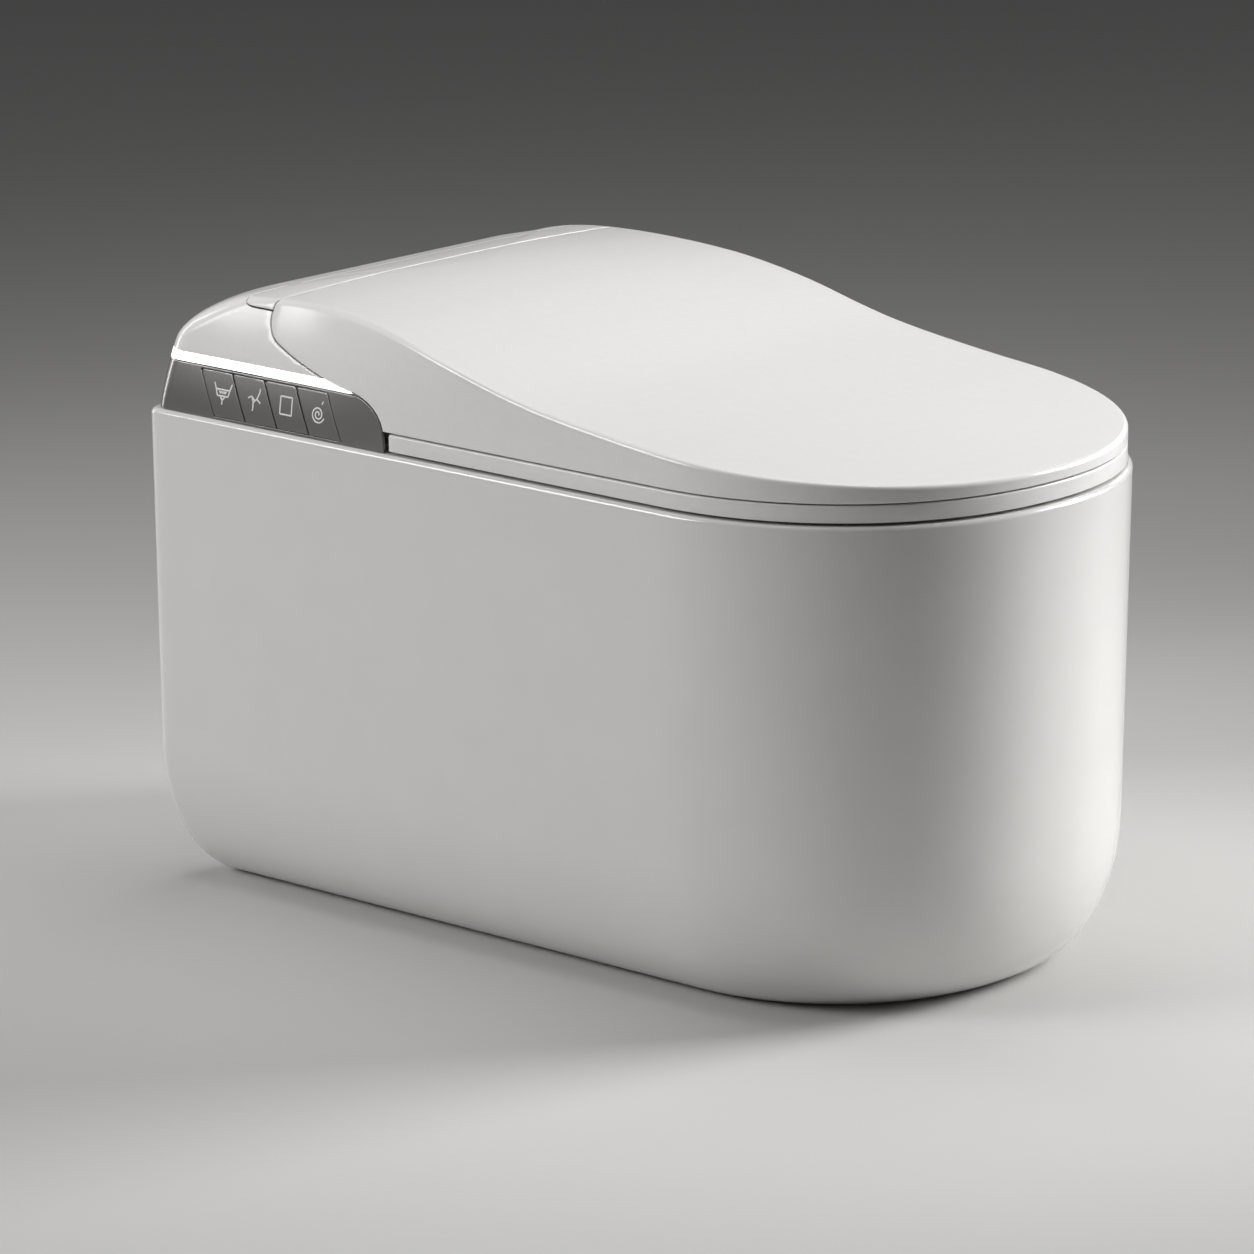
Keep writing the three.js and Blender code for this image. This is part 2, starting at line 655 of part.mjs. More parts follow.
function basePlate() {
  const plate = box([-194, 194], [114, 338], [PLATE_BOTTOM, PLATE_TOP]);
  const postZ = [PLATE_TOP - 1, BOARD_Z - GAP];
  const posts = BOARD_POSTS.map(([x, y]) => rod("z", 3, postZ, { x, y }, 12));
  const slot = box([POCKET.left - 1, POCKET.right + 1], [100, POCKET.rear + 1], [360, 375]);
  const supply = rod("z", 14, [360, 375], { x: -40, y: 300 });
  const bolts = [-1, 1].map((side) => rod("z", 4.6, [360, 375], boltPlace(side), 12));
  return cut(join(plate, ...posts), slot, supply, ...bolts);
}
place("base_plate", basePlate(), GREY_PLASTIC);

for (const [name, side] of [["deck_bolt_left", -1], ["deck_bolt_right", 1]]) {
  const head = rod("z", 8, [PLATE_TOP + GAP, PLATE_TOP + 5], boltPlace(side), 6);
  place(name, join(head, rod("z", 4, [RIM_Z - 26, PLATE_TOP + 1], boltPlace(side), 12)), STEEL);
}

// Front cover of the works: a low fascia behind the seat that slopes up to a flat roof.
const COVER_HALF = 178;
const COVER_WALL = 2.5;
const COVER_ROOF = 425; // low enough for the lid's heel to swing over it
function coverZone(wall) {
  const roof = COVER_ROOF - wall;
  const shape = new THREE.Shape();
  shape.moveTo(110 + wall, PLATE_TOP + GAP - wall * 2);
  shape.lineTo(110 + wall, 398);
  shape.bezierCurveTo(110 + wall, 405 - wall, 114 + wall, 407 - wall, 120 + wall, 411 - wall);
  shape.bezierCurveTo(134, 419 - wall, 150, roof, 170, roof);
  shape.lineTo(262 + wall, roof);
  shape.lineTo(262 + wall, PLATE_TOP + GAP - wall * 2);
  shape.closePath();
  return acrossX(shape, [-COVER_HALF + wall, COVER_HALF - wall], 6);
}
const armNotches = [-1, 1].map((side) => {
  const reach = span(side, SEAT_LUG.inner - 3.5, SEAT_LUG.outer + 3.5);
  return box(reach, [100, SEAT_AXIS.y + 11], [360, SEAT_AXIS.z + 11]);
});
place("inner_cover", cut(coverZone(0), coverZone(COVER_WALL), ...armNotches), WHITE_SATIN);

for (const [name, side] of [["lid_drive_left", -1], ["lid_drive_right", 1]]) {
  const casing = box(span(side, 64, 114), [178, 218], [COVER_ROOF + GAP, 455]);
  const shaft = rod("x", HINGE_PIN_RADIUS, span(side, 110, 131), LID_AXIS);
  place(name, join(casing, shaft), GREY_PLASTIC);
}
for (const [name, side] of [["seat_damper_left", -1], ["seat_damper_right", 1]]) {
  const middle = { y: SEAT_AXIS.y + 5.8, z: SEAT_AXIS.z };
  const tube = rod("x", 10, span(side, 108, 146), middle);
  const shaft = rod("x", HINGE_PIN_RADIUS, span(side, 144, 170), SEAT_AXIS);
  place(name, join(tube, shaft), STEEL);
}

// ---------------------------------------------------------------- spray wand

// Local +Y climbs back along the wand; the origin is where its axis crosses the gate.
const wandGroup = new THREE.Group();
wandGroup.position.set(WAND.x, GATE.y, GATE.z - GATE.drop);
wandGroup.rotation.x = THREE.MathUtils.degToRad(WAND.angle);
toilet.add(wandGroup);

const TIP_LENGTH = 12;
const RACK = { front: WAND.setback + 58, back: WAND.setback + WAND.length - 2, top: 10 };
const PINION = { y: WAND.setback + 60, z: RACK.top + 8.6, radius: 8, teeth: 12 };
const axisOnWand = { x: 0, z: 0 };

function wand() {
  const from = WAND.setback + TIP_LENGTH + GAP;
  const tube = rod("y", WAND.radius, [from, WAND.setback + WAND.length], axisOnWand, 24);
  const rack = box([-2.5, 2.5], [RACK.front, RACK.back], [WAND.radius - 1, RACK.top]);
  return join(tube, rack);
}
place("spray_wand", wand(), WHITE_SATIN, wandGroup);

function wandTip() {
  const radius = WAND.radius;
  const profile = new THREE.Shape();
  profile.moveTo(0, WAND.setback);
  profile.lineTo(radius * 0.5, WAND.setback);
  profile.quadraticCurveTo(radius, WAND.setback, radius, WAND.setback + radius * 0.7);
  profile.lineTo(radius, WAND.setback + TIP_LENGTH);
  profile.lineTo(0, WAND.setback + TIP_LENGTH);
  const body = toSolid(new THREE.LatheGeometry(profile.getPoints(4), 20));
  const jets = [-1, 0, 1].map((i) => rod("z", 0.8, [3, 9], { x: i * 2.4, y: WAND.setback + 6 }, 6));
  return cut(body, ...jets);
}
place("wand_tip", wandTip(), STEEL, wandGroup);

const GUIDE = { front: 46, back: 112, halfWidth: 13 };
place(
  "wand_guide",
  cut(
    box([-GUIDE.halfWidth, GUIDE.halfWidth], [GUIDE.front, GUIDE.back], [-11, 4]),
    box([-WAND.radius - 0.7, WAND.radius + 0.7], [0, 200], [-WAND.radius - 0.7, 5]),
  ),
  GREY_PLASTIC,
  wandGroup,
);

function pinion() {
  const blank = rod("x", PINION.radius - 1.6, [-2.5, 2.5], PINION, 18);
  const teeth = [];
  for (let i = 0; i < PINION.teeth; i++) {
    const tooth = new THREE.BoxGeometry(5, 1.4, 3);
    tooth.translate(0, 0, PINION.radius - 1.5);
    tooth.rotateX((i / PINION.teeth) * Math.PI * 2);
    tooth.translate(0, PINION.y, PINION.z);
    teeth.push(toSolid(tooth));
  }
  return cut(join(blank, ...teeth), rod("x", 1.8, [-4, 4], PINION, 12));
}
place("wand_pinion", pinion(), WHITE_SATIN, wandGroup);

const wandMotor = join(rod("x", 10, [6, 24], PINION, 24), rod("x", 1.5, [-4, 7], PINION, 12));
place("wand_motor", wandMotor, STEEL, wandGroup);

// ---------------------------------------------------------------- gates in front of the pocket

const GATE_ZONE = { left: WAND.x - 20, right: WAND.x + 20 };
const FLAP_ZONE = { left: DUCT.left - 0.5, right: DUCT.right + 0.5, reach: 22 };
const gateAxis = { y: GATE.y, z: GATE.z };
const gateBore = rod("x", 1.5, [-100, 120], gateAxis, 12);

function hangingFlap(zone, reach) {
  const leaf = box([zone.left, zone.right], [GATE.y - 1, GATE.y + 1], [GATE.z - reach, GATE.z]);
  return cut(join(leaf, rod("x", 2.6, [zone.left, zone.right], gateAxis, 16)), gateBore);
}
place("wand_gate", hangingFlap(GATE_ZONE, GATE.reach), WHITE_GLOSS);
place("air_flap", hangingFlap(FLAP_ZONE, FLAP_ZONE.reach), WHITE_GLOSS);
place("gate_pin", rod("x", 1.2, [POCKET.left + 0.5, POCKET.right - 0.5], gateAxis, 12), STEEL);

function pocketHood() {
  const plate = box([POCKET.left + GAP, POCKET.right - GAP], [96, 109], [RIM_Z - 0.6, RIM_Z + 1.4]);
  const ears = [GATE_ZONE, FLAP_ZONE].flatMap((zone) => [zone.left - 3.4, zone.right + 0.4]);
  const lugs = ears.map((x) => box([x, x + 3], [GATE.y - 3, GATE.y + 3], [GATE.z - 3.5, RIM_Z]));
  return cut(join(plate, ...lugs), gateBore);
}
place("pocket_hood", pocketHood(), WHITE_GLOSS);

// ---------------------------------------------------------------- warm-air dryer

const ductMiddle = (DUCT.left + DUCT.right) / 2;
function airDuct() {
  const length = 58;
  const outer = box([-14, 14], [0, length], [-DUCT.height / 2, DUCT.height / 2]);
  const bore = DUCT.height / 2 - DUCT.wall;
  return cut(outer, box([-12, 12], [-1, length + 1], [-bore, bore]));
}
const duct = place("air_duct", airDuct(), GREY_PLASTIC);
duct.position.set(ductMiddle, 114, 351);
duct.rotation.x = THREE.MathUtils.degToRad(WAND.angle);

function blowerHousing() {
  const { radius, bottom, top } = BLOWER;
  const outer = join(
    rod("z", radius, [bottom, top], BLOWER, 30),
    box([DUCT.left, DUCT.right], [172, BLOWER.y], [bottom + 4, top]),
  );
  const inner = join(
    rod("z", radius - 2, [bottom + 2, top - 2], BLOWER, 30),
    box([DUCT.left + 2, DUCT.right - 2], [170, BLOWER.y], [bottom + 6, top - 2]),
  );
  return cut(outer, inner, rod("z", 20, [top - 5, top + 5], BLOWER, 28));
}
place("blower_housing", blowerHousing(), BLACK_PLASTIC);

function impeller() {
  const disc = rod("z", 34, [386, 388], BLOWER, 26);
  const hub = rod("z", 6, [386, 396], BLOWER, 20);
  const blades = [];
  const bladeCount = 14;
  for (let i = 0; i < bladeCount; i++) {
    const blade = new THREE.BoxGeometry(12, 1.2, 16);
    blade.rotateZ(0.6);
    blade.translate(28, 0, 395);
    blade.rotateZ((i / bladeCount) * Math.PI * 2);
    blade.translate(BLOWER.x, BLOWER.y, 0);
    blades.push(toSolid(blade));
  }
  return cut(join(disc, hub, ...blades), rod("z", 1.8, [380, 400], BLOWER, 12));
}
place("blower_impeller", impeller(), GREY_PLASTIC);
const blowerShaft = rod("z", 1.5, [384, 393], BLOWER, 12);
place("blower_motor", join(rod("z", 13, [373.3, 385], BLOWER, 24), blowerShaft), STEEL);

// ---------------------------------------------------------------- water path

const TANK = { x: [-160, -80], y: [195, 318], z: [372, 416] };
const shrunk = ([from, to], wall) => [from + wall, to - wall];
function heaterTank() {
  const hollow = box(shrunk(TANK.x, 2.5), shrunk(TANK.y, 2.5), [TANK.z[0] + 2.5, TANK.z[1] + 1]);
  return cut(box(TANK.x, TANK.y, TANK.z), hollow);
}
place("heater_tank", heaterTank(), GREY_PLASTIC);
place("heater_tank_lid", box(TANK.x, TANK.y, [TANK.z[1] + GAP, TANK.z[1] + 4]), GREY_PLASTIC);
const heatingElement = hose(
  [[-100, 210, 382], [-100, 290, 382], [-120, 302, 384], [-140, 290, 386], [-140, 210, 386]],
  4,
  16,
);
place("heating_element", toSolid(heatingElement), STEEL);

const pumpPlace = { x: -120, z: 392 };
place(
  "water_pump",
  join(rod("y", 17, [150, 190], pumpPlace, 24), rod("y", 12, [138, 151], pumpPlace, 20)),
  BLACK_PLASTIC,
);
const WAND_HOSE = [[-102.5, 160, 390], [-80, 160, 389], [-58, 164, 384], [-35.6, 168, 378]];
place("wand_hose", toSolid(hose(WAND_HOSE, 3, 10)), RUBBER);

place(
  "inlet_valve",
  join(
    box([-46, -16], [290, 320], [373, 394]),
    rod("x", 9, [-62, -45], { y: 305, z: 384 }, 20),
  ),
  BLACK_PLASTIC,
);
function inletConnector() {
  const stub = rod("y", INLET.radius, [320 + GAP, 353], INLET, 24);
  return cut(stub, rod("y", INLET.radius - 2.5, [324, 360], INLET, 20));
}
place("water_inlet", inletConnector(), BRASS);
place("supply_riser", rod("z", 7, [331, 372.6], { x: -40, y: 300 }), RUBBER);
place(
  "flush_valve",
  join(box([-70, -10], [275, 325], [280, 320]), rod("z", 12, [319, 330.6], { x: -40, y: 300 })),
  BLACK_PLASTIC,
);
const FLUSH_ROUTE = [
  [-40, 272, 296],
  [-36, 245, 294],
  [-20, 200, 290],
  [-4, 150, 284],
  [0, 118, 282],
];
place("flush_pipe", toSolid(hose(FLUSH_ROUTE, 10, 10)), RUBBER);

// ---------------------------------------------------------------- electrics

function controllerBoard() {
  const board = box([-70, 30], [238, 328], [BOARD_Z, BOARD_Z + 1.6]);
  const chips = [
    box([-50, -30], [255, 275], [BOARD_Z + 1, BOARD_Z + 5]),
    box([-10, 15], [255, 268], [BOARD_Z + 1, BOARD_Z + 12]),
    box([-60, 20], [308, 318], [BOARD_Z + 1, BOARD_Z + 9]),
  ];
  return join(board, ...chips);
}
place("controller_board", controllerBoard(), BOARD_GREEN);
place("power_supply", box([60, 150], [268, 325], [371, 408]), BLACK_PLASTIC);

function cordGland() {
  const body = join(
    rod("y", GLAND.radius, [330, 353], GLAND, 24),
    rod("y", GLAND.radius + 3, [326, 334], GLAND, 6),
  );
  return cut(body, rod("y", 3.6, [320, 360], GLAND, 16));
}
place("cord_gland", cordGland(), BLACK_PLASTIC);

export default toilet;
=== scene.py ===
import json
import math

import bpy
import numpy as np
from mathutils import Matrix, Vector
from mathutils.bvhtree import BVHTree


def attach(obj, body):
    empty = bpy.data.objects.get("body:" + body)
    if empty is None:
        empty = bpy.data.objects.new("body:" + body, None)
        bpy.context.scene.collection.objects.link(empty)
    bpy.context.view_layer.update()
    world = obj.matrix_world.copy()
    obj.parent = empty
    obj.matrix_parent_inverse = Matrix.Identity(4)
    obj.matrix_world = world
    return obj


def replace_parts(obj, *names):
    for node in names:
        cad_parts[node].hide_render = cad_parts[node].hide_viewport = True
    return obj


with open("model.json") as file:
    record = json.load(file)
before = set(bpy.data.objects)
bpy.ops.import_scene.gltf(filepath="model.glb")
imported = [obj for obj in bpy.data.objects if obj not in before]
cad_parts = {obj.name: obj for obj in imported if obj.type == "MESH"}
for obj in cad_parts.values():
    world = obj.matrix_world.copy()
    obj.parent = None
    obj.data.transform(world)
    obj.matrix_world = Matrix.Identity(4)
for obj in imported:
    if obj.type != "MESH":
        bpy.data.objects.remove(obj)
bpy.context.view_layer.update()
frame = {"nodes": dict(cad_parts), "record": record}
MM = 0.001

# ---------------------------------------------------------------- driving dimensions

HALF_WIDTH = 210
FRONT_Y, REAR_Y = -355, 355
NOSE_LENGTH = 202
NOSE_Y = FRONT_Y + NOSE_LENGTH
NOSE_POWER = 2.13  # of the superellipse that rounds the nose
RIM_Z = 366
PAN_CORNER, PAN_EDGE = 14, 4  # upright rear corners, and the roll along the rim
PAN_WALL = 12
FOOT_RISE, FOOT_TUCK = 103, 57  # height and depth of the curve under the skirt
SKIRT_DRAFT = 5.6
BAND_INSET = 3.7  # of seat, lid and housing from the pan's wall
HOUSING_BOTTOM = 366.6
SEAT_BOTTOM, SEAT_TOP, SEAT_REAR_Y = 368.2, 380.8, 107.4
LID_BOTTOM = 382
PANEL_TOP = 403.6
PANEL_ENDS = 150  # where panel, trim and light guides stop across the back
SERVICE_PANEL_TOP = 413
GUIDE_BOTTOM, GUIDE_TOP = 404.6, 411.2
SEAM = 1
REAR_LEAN = 4.3
WALL_POWER = 1.6  # how late the side walls lean in as they rise
CORNERS = (18, 30, 46)  # of the outer skin at its foot, under its shoulder and over it
COVER_WALL, LID_WALL, GUIDE_WALL, KEY_WALL = 2.6, 2.8, 2.4, 2.3
LID_AXIS = (216, 449)
HEEL_RADIUS, HEEL_TOP, HEEL_JOIN = 22.8, 15.8, 0.89
KEY_COUNT, KEY_PITCH, KEY_REAR_Y, KEY_SLANT = 4, 32.7, 284, 18.5
KEY_GAP = 0.35
SYMBOL_WIDTH, SYMBOL_HEIGHT = 1.15, 0.12
INLET, INLET_HOLE = (-30, 384), 9.5
GLAND, GLAND_HOLE = (105, 384), 7.5


# ---------------------------------------------------------------- camera


def aim_camera():
    azimuth, elevation = math.radians(-48.517), math.radians(14.312)
    back = Vector(
        (
            math.sin(azimuth) * math.cos(elevation),
            -math.cos(azimuth) * math.cos(elevation),
            math.sin(elevation),
        )
    )
    lens = bpy.data.cameras.new("camera")
    lens.sensor_width, lens.lens = 36, 213.2
    lens.clip_end = 60
    camera = bpy.data.objects.new("camera", lens)
    camera.location = (-4.04026, -3.51515, 1.58135)
    camera.rotation_mode = "QUATERNION"
    camera.rotation_quaternion = (-back).to_track_quat("-Z", "Y")
    bpy.context.scene.collection.objects.link(camera)
    bpy.context.scene.camera = camera


aim_camera()

# ---------------------------------------------------------------- materials


def linear(hex_colour):
    """An sRGB hex colour as linear light, with full alpha."""
    channels = [int(hex_colour[i : i + 2], 16) / 255 for i in (1, 3, 5)]
    return (
        *[c / 12.92 if c <= 0.04045 else ((c + 0.055) / 1.055) ** 2.4 for c in channels],
        1,
    )


def add_node(material, kind, settings=None, links=None):
    """Adds one node; settings are sockets or properties, and links name a source node and socket."""
    tree = material.node_tree
    node = tree.nodes.new(kind)
    for key, value in (settings or {}).items():
        if key in node.inputs:
            node.inputs[key].default_value = value
        else:
            setattr(node, key, value)
    for key, (source, output) in (links or {}).items():
        tree.links.new(source.outputs[output], node.inputs[key])
    return node


def surface(name, colour, roughness, **more):
    """A material with one Principled shader; returns it with the shader."""
    material = bpy.data.materials.new(name)
    material.use_nodes = True
    material.node_tree.nodes.clear()
    shader = add_node(
        material,
        "ShaderNodeBsdfPrincipled",
        {"Base Color": linear(colour), "Roughness": roughness},
    )
    for key, value in more.items():
        shader.inputs[key.replace("_", " ")].default_value = value
    add_node(
        material, "ShaderNodeOutputMaterial", links={"Surface": (shader, "BSDF")}
    )
    material.diffuse_color = linear(colour)
    return material, shader


def ripple(material, shader, size_mm, height_mm, colours=None, stretch=(1, 1, 1)):
    """A fine uneven surface: noise of that size drives the bump and, if asked, a slight tone."""
    place = add_node(material, "ShaderNodeTexCoord")
    turned = add_node(
        material,
        "ShaderNodeMapping",
        {"Scale": stretch},
        {"Vector": (place, "Object")},
    )
    noise = add_node(
        material,
        "ShaderNodeTexNoise",
        {"Scale": 1 / (size_mm * MM), "Detail": 3.0},
        {"Vector": (turned, "Vector")},
    )
    bump = add_node(
        material,
        "ShaderNodeBump",
        {"Strength": 1.0, "Distance": height_mm * MM},
        {"Height": (noise, "Fac")},
    )
    material.node_tree.links.new(bump.outputs["Normal"], shader.inputs["Normal"])
    if colours:
        ramp = add_node(material, "ShaderNodeValToRGB", links={"Fac": (noise, "Fac")})
        ramp.color_ramp.elements[0].position = 0.3
        ramp.color_ramp.elements[1].position = 0.7
        for element, colour in zip(ramp.color_ramp.elements, colours):
            element.color = linear(colour)
        material.node_tree.links.new(ramp.outputs["Color"], shader.inputs["Base Color"])


def glazed_vitreous_china():
    """Fired glaze on vitreous china: near-white and wet, with a poured glaze's slow waves."""
    material, shader = surface(
        "glazed_vitreous_china", "#e6e5e3", 0.16, IOR=1.52, Coat_Weight=0.5, Coat_Roughness=0.05
    )
    ripple(material, shader, 40, 0.02, ("#e5e4e2", "#e7e6e4"))
    return material


def polished_white_abs():
    """Injection-moulded ABS from a polished tool: bright white, soft gloss, faint orange peel."""
    material, shader = surface("polished_white_abs", "#edecea", 0.17, IOR=1.53)
    ripple(material, shader, 7, 0.006, ("#ecebe9", "#eeedeb"))
    return material


def satin_white_polypropylene():
    """Moulded polypropylene with a fine spark-eroded texture, so it looks satin."""
    material, shader = surface("satin_white_polypropylene", "#dfddd9", 0.45, IOR=1.49)
    ripple(material, shader, 1.2, 0.02, ("#dddbd7", "#e1dfdb"))
    return material


def dark_metallic_lacquer():
    """Grey metallic lacquer under a clear coat: aluminium flakes glint, and the gloss runs in a band.

    Real flakes are about 0.05 mm; they are drawn at 0.5 mm so that they show.
    """
    material, shader = surface(
        "dark_metallic_lacquer",
        "#8f8c8a",
        0.34,
        Metallic=0.85,
        Coat_Weight=0.6,
        Coat_Roughness=0.08,
    )
    ripple(material, shader, 0.5, 0.004, ("#8a8785", "#94918f"))
    return material


def lit_frosted_guide():
    """Frosted polycarbonate light guide with white diodes behind it."""
    material, shader = surface(
        "lit_frosted_guide", "#f6f7f8", 0.5, IOR=1.58, Emission_Strength=1.5
    )
    shader.inputs["Emission Color"].default_value = linear("#ffffff")
    ripple(material, shader, 1.5, 0.01)
    return material


def moulded_plastic(name, colour):
    """Glass-filled nylon, moulded with a matt grain."""
    material, shader = surface(name, colour, 0.55, IOR=1.53)
    ripple(material, shader, 1.0, 0.03)
    return material


def soft_silicone():
    """Translucent-looking grey silicone rubber, dull and slightly uneven."""
    material, shader = surface("soft_silicone_rubber", "#b4b2ad", 0.7, IOR=1.41)
    ripple(material, shader, 2.5, 0.03)
    return material


def brushed_stainless():
    """Stainless steel with a drawn brushed finish: fine lines along X."""
    material, shader = surface("brushed_stainless_steel", "#b9babc", 0.3, Metallic=1.0)
    ripple(material, shader, 1.4, 0.008, ("#b2b3b5", "#c0c1c3"), (0.08, 1, 1))
    return material


def turned_brass():
    """Machined brass: warm, with turning lines round the axis."""
    material, shader = surface("turned_brass", "#c9a765", 0.3, Metallic=1.0)
    ripple(material, shader, 0.8, 0.01, None, (1, 0.05, 1))
    return material


def amber_polyimide():
    """Polyimide film heater: amber, smooth, with etched tracks too fine to show."""
    material, shader = surface("amber_polyimide_film", "#a4622a", 0.3, IOR=1.7)
    ripple(material, shader, 4, 0.02, ("#95561f", "#b06e35"))
    return material


def solder_mask_darkened_as_gap_shade():
    """Glass-epoxy board under green solder mask, its green darkened nearly to black as painted shade
    where it shows in the gaps round the keys.
    """
    material, shader = surface("solder_mask_darkened_as_gap_shade", "#163226", 0.4, IOR=1.55)
    ripple(material, shader, 2, 0.02, ("#132c21", "#1a3a2c"))
    return material


def white_pad_print():
    """White ink, pad-printed and cured matt."""
    material, shader = surface("white_pad_print_ink", "#f4f4f2", 0.5, IOR=1.5)
    ripple(material, shader, 0.6, 0.01)
    return material


CHINA = glazed_vitreous_china()
WHITE = polished_white_abs()
SATIN = satin_white_polypropylene()
LACQUER = dark_metallic_lacquer()
GLOW = lit_frosted_guide()
GREY = moulded_plastic("grey_glass_filled_nylon", "#868a8d")
BLACK = moulded_plastic("black_glass_filled_nylon", "#242527")
RUBBER = soft_silicone()
STEEL = brushed_stainless()
BRASS = turned_brass()
FILM = amber_polyimide()
# the board's green is darkened nearly to black as painted shade for the gaps round the keys
SHADE_DARKENED_BOARD = solder_mask_darkened_as_gap_shade()
INK = white_pad_print()

SLOT_FINISH = {
    "glazed_ceramic": CHINA,
    "white_gloss_plastic": WHITE,
    "white_satin_plastic": SATIN,
    "dark_lacquer": LACQUER,
    "light_guide": GLOW,
    "grey_plastic": GREY,
    "black_plastic": BLACK,
    "rubber": RUBBER,
    "steel": STEEL,
    "brass": BRASS,
    "heater_film": FILM,
    "circuit_board": SHADE_DARKENED_BOARD,
}
for entry in frame["record"]["subparts"]:
    part = frame["nodes"][entry["node"]]
    part.data.materials.clear()
    part.data.materials.append(SLOT_FINISH[entry["material_slot"]])

# ---------------------------------------------------------------- mesh helpers


def mix(a, b, share):
    return a + (b - a) * share


def ease(value, low, high):
    share = np.clip((np.asarray(value, float) - low) / (high - low), 0, 1)
    return share * share * (3 - 2 * share)


def make_piece(name, points_mm, faces, finish, body, sharp=35):
    """A finished mesh at the origin, in metres, riding on a body."""
    mesh = bpy.data.meshes.new(name)
    mesh.from_pydata((np.asarray(points_mm, float) * MM).tolist(), [], faces)
    mesh.validate()
    mesh.shade_smooth()
    mesh.set_sharp_from_angle(angle=math.radians(sharp))
    mesh.materials.append(finish)
    piece = bpy.data.objects.new(name, mesh)
    bpy.context.scene.collection.objects.link(piece)
    if body:
        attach(piece, body)
    return piece


def ring_faces(ring_count, across, first=0):
    """Quads between closed rings that follow each other in one list of points."""
    return [
        (
            first + i * across + j,
            first + i * across + (j + 1) % across,
            first + (i + 1) * across + (j + 1) % across,
            first + (i + 1) * across + j,
        )
        for i in range(ring_count - 1)
        for j in range(across)
    ]


def lofted_solid(name, rings):
    """A closed solid through rings that run counterclockwise and climb."""
    across = len(rings[0])
    faces = ring_faces(len(rings), across)
    faces.append(tuple(range(across))[::-1])
    last = (len(rings) - 1) * across
    faces.append(tuple(range(last, last + across)))
    return make_piece(name, np.vstack(rings), faces, CHINA, None)


def combine(body, tool, operation):
    """One boolean step on body; the tool is used up."""
    step = body.modifiers.new("step", "BOOLEAN")
    step.operation, step.object, step.solver = operation, tool, "MANIFOLD"
    evaluated = body.evaluated_get(bpy.context.evaluated_depsgraph_get())
    mesh = bpy.data.meshes.new_from_object(evaluated)
    body.modifiers.clear()
    body.data = mesh
    bpy.data.objects.remove(tool)
    return body


# ---------------------------------------------------------------- plan outline and outer skin


def plan_outline(corner, back_steps=16, corner_steps=12, side_steps=60, nose_steps=56):
    """The object's outline from above, counterclockwise from the middle of the back."""
    straight = REAR_Y - corner
    power = 2 / NOSE_POWER
    back = [(x, REAR_Y) for x in np.linspace(0, corner - HALF_WIDTH, back_steps + 1)[:-1]]
    turn = [
        (-HALF_WIDTH + corner * (1 - math.sin(a)), straight + corner * math.cos(a))
        for a in np.linspace(0, math.pi / 2, corner_steps + 1)[:-1]
    ]
    side = [(-HALF_WIDTH, y) for y in np.linspace(straight, NOSE_Y, side_steps + 1)[:-1]]
    nose = [
        (
            -HALF_WIDTH * max(math.cos(a), 0) ** power,
            NOSE_Y - NOSE_LENGTH * math.sin(a) ** power,
        )
        for a in np.linspace(0, math.pi / 2, nose_steps + 1)
    ]
    half = np.array(back + turn + side + nose)
    return np.vstack([half, half[-2:0:-1] * (-1, 1)])


def rearness(y):
    """Nought along the sides and one at the back wall."""
    return ease(y, 250, REAR_Y)


def moved_in(points, side, rear):
    """Outline points moved inward: sides and nose by side, the rear wall by rear."""
    nose = np.minimum(points[:, 1] - NOSE_Y, 0)
    x = points[:, 0] * (1 - side / HALF_WIDTH)
    y = points[:, 1] - nose * side / NOSE_LENGTH - rear * rearness(points[:, 1])
    return np.column_stack([x, y])


EDGE_POINTS = np.array(
    [
        (-370, 390.2),
        (-355, 391.2),
        (-262, 397.5),
        (-180, 404),
        (-103, 411.8),
        (-25, 423),
        (53, 441.5),
        (93, 450.5),
        (125, 456),
        (165, 460),
        (205, 461.3),
        (250, 459.5),
        (300, 454.5),
        (360, 444),
    ]
)


def smooth_curve(points, count):
    """Points along a Catmull-Rom curve through the given ones."""
    last = len(points) - 1
    found = []
    for place in np.linspace(0, last, count):
        i = min(int(place), last - 1)
        t = place - i
        p0, p1 = points[max(i - 1, 0)], points[i]
        p2, p3 = points[i + 1], points[min(i + 2, last)]
        v0, v1 = (p2 - p0) / 2, (p3 - p1) / 2
        cubic = (2 * p1 - 2 * p2 + v0 + v1) * t**3
        found.append(cubic + (3 * p2 - 3 * p1 - 2 * v0 - v1) * t**2 + v0 * t + p1)
    return np.array(found)


EDGE_CURVE = smooth_curve(EDGE_POINTS, 600)


def edge_height(y):
    return np.interp(y, EDGE_CURVE[:, 0], EDGE_CURVE[:, 1])


def hump(y):
    """Nought over the bowl and one where the lid rises over the housing."""
    return ease(y, 30, 210)


